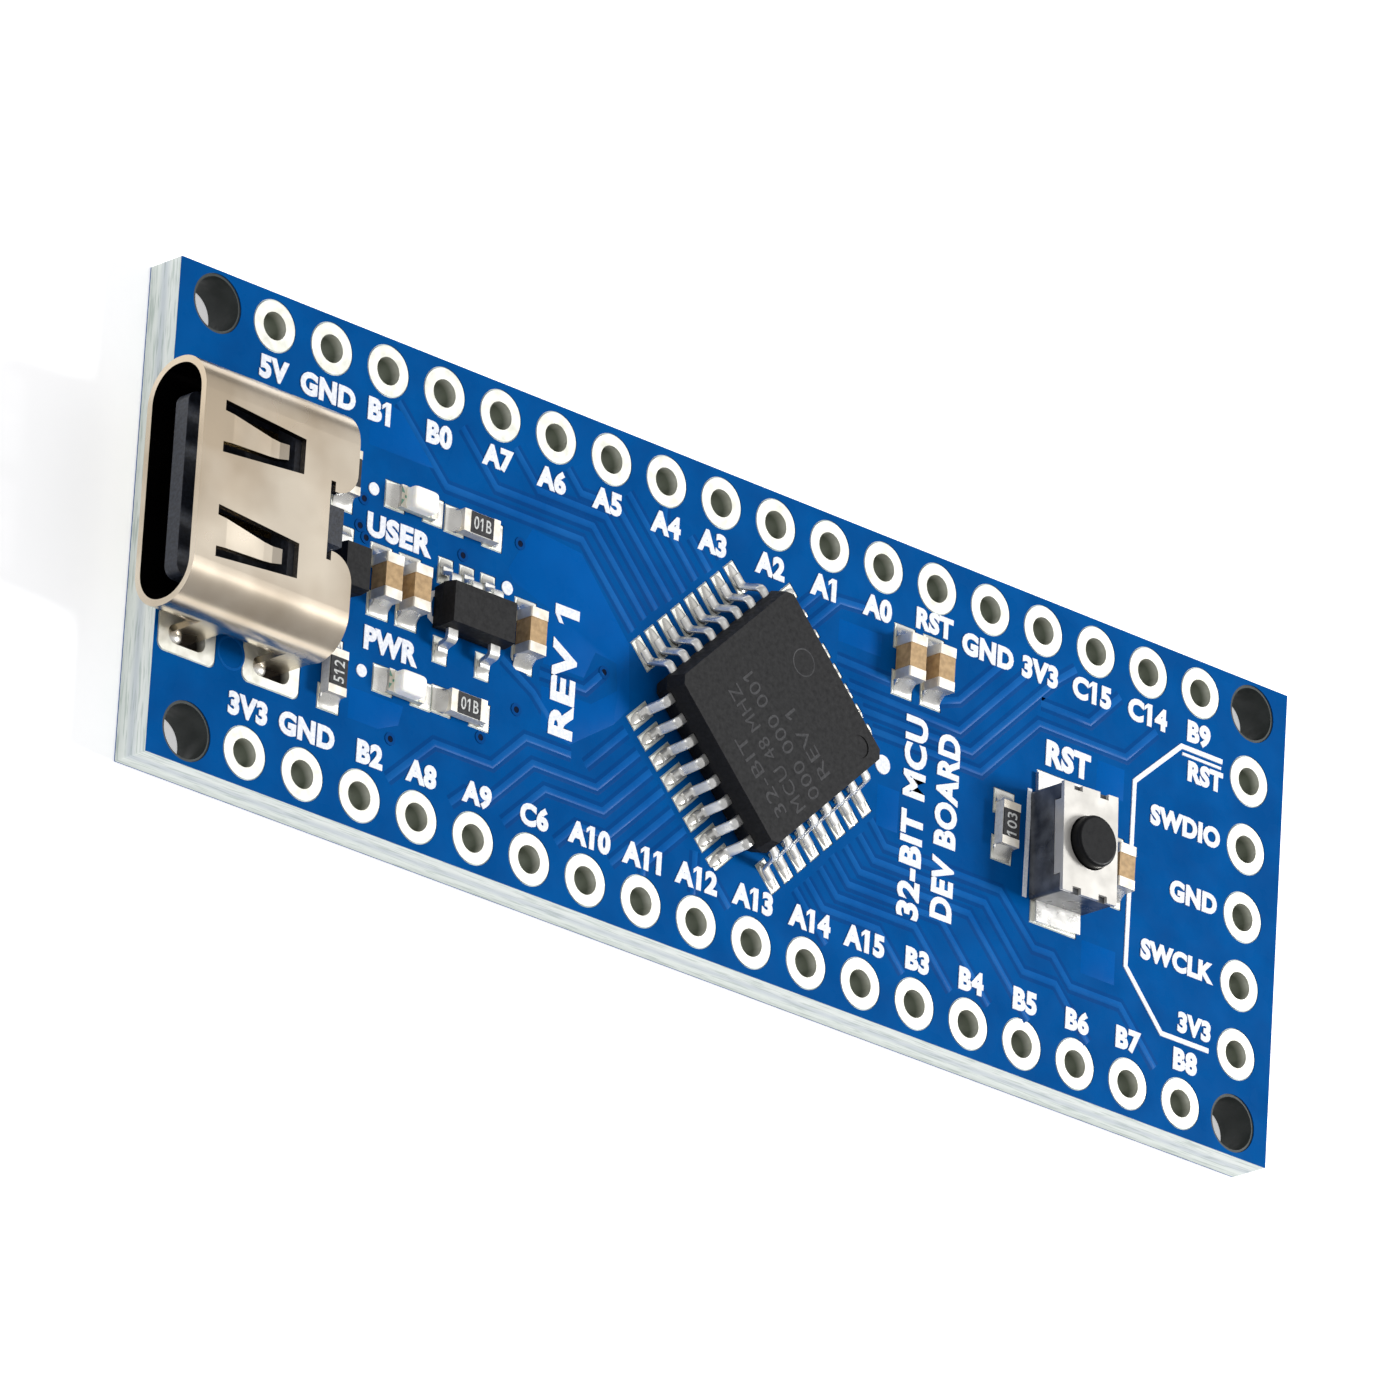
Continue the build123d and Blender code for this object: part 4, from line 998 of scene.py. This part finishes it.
def solder_chips(mesh):
    """A ramp at both ends of every chip."""
    for x, y, turn, height in CHIPS:
        for side in (0, 180):
            where = place(x, y, turn + side, LAND_TOP) @ place(CHIP_HALF - FACE_OVERLAP, 0)
            add_fillet(mesh, where, CHIP_WIDTH, CHIP_LAND_OUT - CHIP_HALF, height)


def mcu_lead_frames(z):
    """A frame for each of the microcontroller's leads, whose x runs out along the lead."""
    for side in range(4):
        for lead in range(MCU_SIDE_LEADS):
            along = (lead - (MCU_SIDE_LEADS - 1) / 2) * MCU_PITCH
            yield side + lead, place(*MCU_CENTRE, MCU_TURN + 90 * side, z) @ place(0, along)


def solder_mcu(mesh):
    """A puddle round the foot of every lead."""
    for seed, where in mcu_lead_frames(LAND_TOP):
        add_mound(mesh, where @ place(MCU_FOOT_MIDDLE, 0), *MCU_PUDDLE, rings=5, sides=24, seed=seed)


def solder_power_parts(mesh):
    """Ramps at the regulator's five feet and the diode's two ends."""
    for x, side in REGULATOR_LEADS:
        where = place(REGULATOR[0] + x, REGULATOR[1] + side * REGULATOR_END, 90 * side, LAND_TOP)
        add_fillet(mesh, where, *REGULATOR_SOLDER, steps=4, across=6)
    for side in (0, 180):
        where = place(*DIODE, 90 + side, LAND_TOP) @ place(DIODE_END, 0)
        add_fillet(mesh, where, *DIODE_SOLDER)


def solder_switch(mesh):
    for side in (0, 180):
        where = place(*SWITCH, SWITCH_TURN + 90 + side, LAND_TOP) @ place(SWITCH_END, 0)
        add_fillet(mesh, where, *SWITCH_SOLDER)


def solder_usb_legs(mesh):
    """Pools of solder that fill one end of each slot, beside the shell's leg."""
    shift_x, shift_y = LEG_POOL_SHIFT
    for x in LEG_X:
        for side in (1, -1):
            where = place(x, USB_Y + side * LEG_PAD_Y, z=LAND_TOP - LEG_POOL_DEPTH)
            pool = where @ place(shift_x, shift_y * side, LEG_POOL_TURN)
            add_mound(mesh, pool, *LEG_POOL, seed=x + side)


def add_solder():
    mesh = bmesh.new()
    solder_chips(mesh)
    solder_mcu(mesh)
    solder_power_parts(mesh)
    solder_switch(mesh)
    solder_usb_legs(mesh)
    add_piece("solder_joints", mesh, SOLDER, smooth=SMOOTH_SOLDER)


def rounded_path(corners, bend, steps=5):
    """Points along a polyline whose inner corners are rounded."""
    points = [Vector(corners[0])]
    for before, corner, after in zip(corners, corners[1:], corners[2:]):
        corner = Vector(corner)
        start = corner + (Vector(before) - corner).normalized() * bend
        stop = corner + (Vector(after) - corner).normalized() * bend
        for step in range(steps + 1):
            part = step / steps
            points.append(start.lerp(corner, part).lerp(corner.lerp(stop, part), part))
    points.append(Vector(corners[-1]))
    return points


def strip_section(width, thick):
    """Eight points round a flat strip with softened edges."""
    soft = thick * LEAD_SOFTNESS
    section = []
    for side_y, side_z in ((1, 1), (-1, 1), (-1, -1), (1, -1)):
        y = side_y * width / 2
        z = side_z * thick / 2
        pair = [(y, z - side_z * soft), (y - side_y * soft, z)]
        section += pair if side_y * side_z > 0 else pair[::-1]
    return section


def add_lead(mesh, where, path, section):
    """A strip swept along a lead's bends, in the frame's upright plane."""
    rings = []
    for index, point in enumerate(path):
        along = (path[min(index + 1, len(path) - 1)] - path[max(index - 1, 0)]).normalized()
        ring = [Vector((point.x - along.y * z, y, point.y + along.x * z)) for y, z in section]
        rings.append([mesh.verts.new(where @ corner) for corner in ring])
    for one, two in zip(rings, rings[1:]):
        join_loops(mesh, one, two)
    mesh.faces.new(rings[0][::-1])
    mesh.faces.new(rings[-1])


def form_mcu_leads():
    """The microcontroller's leads, with the rounded bends that the CAD strips leave out."""
    low, high = (corner.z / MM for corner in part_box("mcu_leads"))
    heights = (low + LEAD_THICK / 2, high - LEAD_THICK / 2)
    path = rounded_path([(x, heights[level]) for x, level in LEAD_CORNERS], LEAD_BEND)
    section = strip_section(LEAD_WIDTH, LEAD_THICK)
    mesh = bmesh.new()
    for _, where in mcu_lead_frames(0):
        add_lead(mesh, where, path, section)
    leads = add_piece("mcu_formed_leads", mesh, LOOKS["tinned_lead"], smooth=SMOOTH_CAST)
    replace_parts(leads, "mcu_leads")


# ---------------------------------------------------------------- marks on the components


# Each line's words, its x and y from the package's middle, and its length.
MCU_ROWS = (
    ("32-BIT", -1.1, 2.3, 3.1), ("MCU 48 MHZ", -0.5, 1.4, 4.9),
    ("000 000 001", -0.5, 0.5, 4.9), ("REV 1", -1.3, -0.4, 2.6),
)
MCU_ROW_CAP = 0.56
MCU_RING_PLACE = (1.0, -2.15)
MCU_RING = (0.44, 0.52)
LASER_RISE = 0.004


def mark_mcu():
    """Generic lines of marking, and a plain ring."""
    mesh = bmesh.new()
    top = place(*MCU_CENTRE, MCU_TURN + 90, MCU_TOP)
    for words, x, y, length in MCU_ROWS:
        add_words(mesh, words, top @ place(x, y), MCU_ROW_CAP, 0.0, length, rise=LASER_RISE)
    middle = top @ Vector((*MCU_RING_PLACE, 0))
    add_washer(mesh, middle.x, middle.y, *MCU_RING, MCU_TOP - PRINT_SINK, MCU_TOP + LASER_RISE)
    add_piece("mcu_marking", mesh, LASER)


def add_snap_dome():
    """The dome under the button, as a piece with its own copy of the mesh, in place of the CAD node."""
    source = NODES["reset_switch_dome"]
    dome = bpy.data.objects.new("reset_snap_dome", source.data.copy())
    bpy.context.scene.collection.objects.link(dome)
    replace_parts(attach(dome, "board"), "reset_switch_dome")
    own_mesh(dome)


# Each resistor's x, y, turn and value code.
RESISTOR_CODES = (
    (-12.3, 3.25, 0, "01B"), (-12.35, -3.25, 0, "01B"), (-18.15, -3.8, 90, "512"),
    (-18.15, 3.4, 90, "512"), (12.55, -0.05, 90, "103"),
)
CODE_CAP = 0.46
CODE_LENGTH = 0.78
CODE_RISE = 0.006


def mark_resistors():
    mesh = bmesh.new()
    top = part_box("user_led_resistor_coating")[1].z / MM
    for x, y, turn, words in RESISTOR_CODES:
        add_words(mesh, words, place(x, y, turn, top), CODE_CAP, CODE_BOLD, CODE_LENGTH, rise=CODE_RISE)
    add_piece("resistor_codes", mesh, CODE_INK)


LED_X = -14.98
LED_Y = 3.3
# Outlines of one LED's green polarity mark, from its middle.
LED_MARKS = (
    ((-0.80, 0.34), (-0.80, 0.12), (-0.66, 0.12)),
    ((-0.80, -0.12), (-0.80, -0.34), (-0.66, -0.12)),
    ((-0.66, 0.05), (-0.66, -0.05), (-0.58, -0.05), (-0.58, 0.05)),
)
LED_MARK_SINK = 0.03
LED_MARK_RISE = 0.012
LED_MARK_DRAFT = 0.008


def mark_leds():
    mesh = bmesh.new()
    top = max(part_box("user_led_base")[1].z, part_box("user_led_terminals")[1].z) / MM
    for y in (LED_Y, -LED_Y):
        for corners in LED_MARKS:
            outline = [Vector((LED_X + cx, y + cy)) for cx, cy in corners]
            add_prism(mesh, outline, top - LED_MARK_SINK, top + LED_MARK_RISE, LED_MARK_DRAFT)
    add_piece("led_polarity_marks", mesh, GREEN_MARK)


LENS_CORNER = 0.12
LENS_SQUARENESS = 0.35


def add_block(mesh, where, half_x, half_y, height, corner, rows=7, sides=48):
    """A cast block with rounded corners and a softly rounded top edge."""
    levels = [(0.0, 0.0)]
    for row in range(rows + 1):
        turn = math.pi / 2 * row / rows
        levels.append((corner * (1 - math.cos(turn)), height - corner + corner * math.sin(turn)))
    rings = []
    for shrink, z in levels:
        ring = []
        for k in range(sides):
            angle = math.tau * (k + 0.5) / sides
            x = math.copysign(abs(math.cos(angle)) ** LENS_SQUARENESS, math.cos(angle))
            y = math.copysign(abs(math.sin(angle)) ** LENS_SQUARENESS, math.sin(angle))
            ring.append(mesh.verts.new(where @ Vector((x * (half_x - shrink), y * (half_y - shrink), z))))
        rings.append(ring)
    for one, two in zip(rings, rings[1:]):
        join_loops(mesh, one, two)
    mesh.faces.new(rings[0][::-1])
    mesh.faces.new(rings[-1])


def cast_lenses():
    for name, y in (("user_led_lens", LED_Y), ("power_led_lens", -LED_Y)):
        low, high = (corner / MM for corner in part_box(name))
        mesh = bmesh.new()
        where = place((low.x + high.x) / 2, y, z=low.z)
        add_block(mesh, where, (high.x - low.x) / 2, (high.y - low.y) / 2, high.z - low.z, LENS_CORNER)
        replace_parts(add_piece(name + "_cast", mesh, LOOKS["led_lens"], smooth=SMOOTH_CAST), name)


# ---------------------------------------------------------------- stage


def add_floor():
    """A pale floor that glows a little, so that it stays nearly white under the soft light."""
    mesh = bmesh.new()
    bmesh.ops.create_grid(mesh, x_segments=FLOOR_CELLS, y_segments=FLOOR_CELLS, size=FLOOR_HALF * MM)
    data = bpy.data.meshes.new("floor")
    mesh.to_mesh(data)
    mesh.free()
    mat = moulding("pale_floor", rgb(246, 246, 247), rgb(252, 252, 252), (0.7, 0.8), per_mm=0.02)
    shine = mat.node_tree.nodes["Principled BSDF"].inputs
    shine["Emission Color"].default_value = WHITE
    shine["Emission Strength"].default_value = FLOOR_GLOW
    data.materials.append(mat)
    floor = bpy.data.objects.new("floor", data)
    floor.location.z = CAD_BOX[0].z - FLOOR_GAP * MM
    bpy.context.scene.collection.objects.link(floor)


add_camera()
add_world()
for name, position, size, watts in SOFTBOXES:
    add_softbox(name, position, size, watts)
add_floor()
dress_cad_nodes()
lay_copper()
add_vias()
print_labels()
print_titles()
print_lines()
add_solder()
form_mcu_leads()
add_snap_dome()
mark_mcu()
mark_resistors()
mark_leds()
cast_lenses()
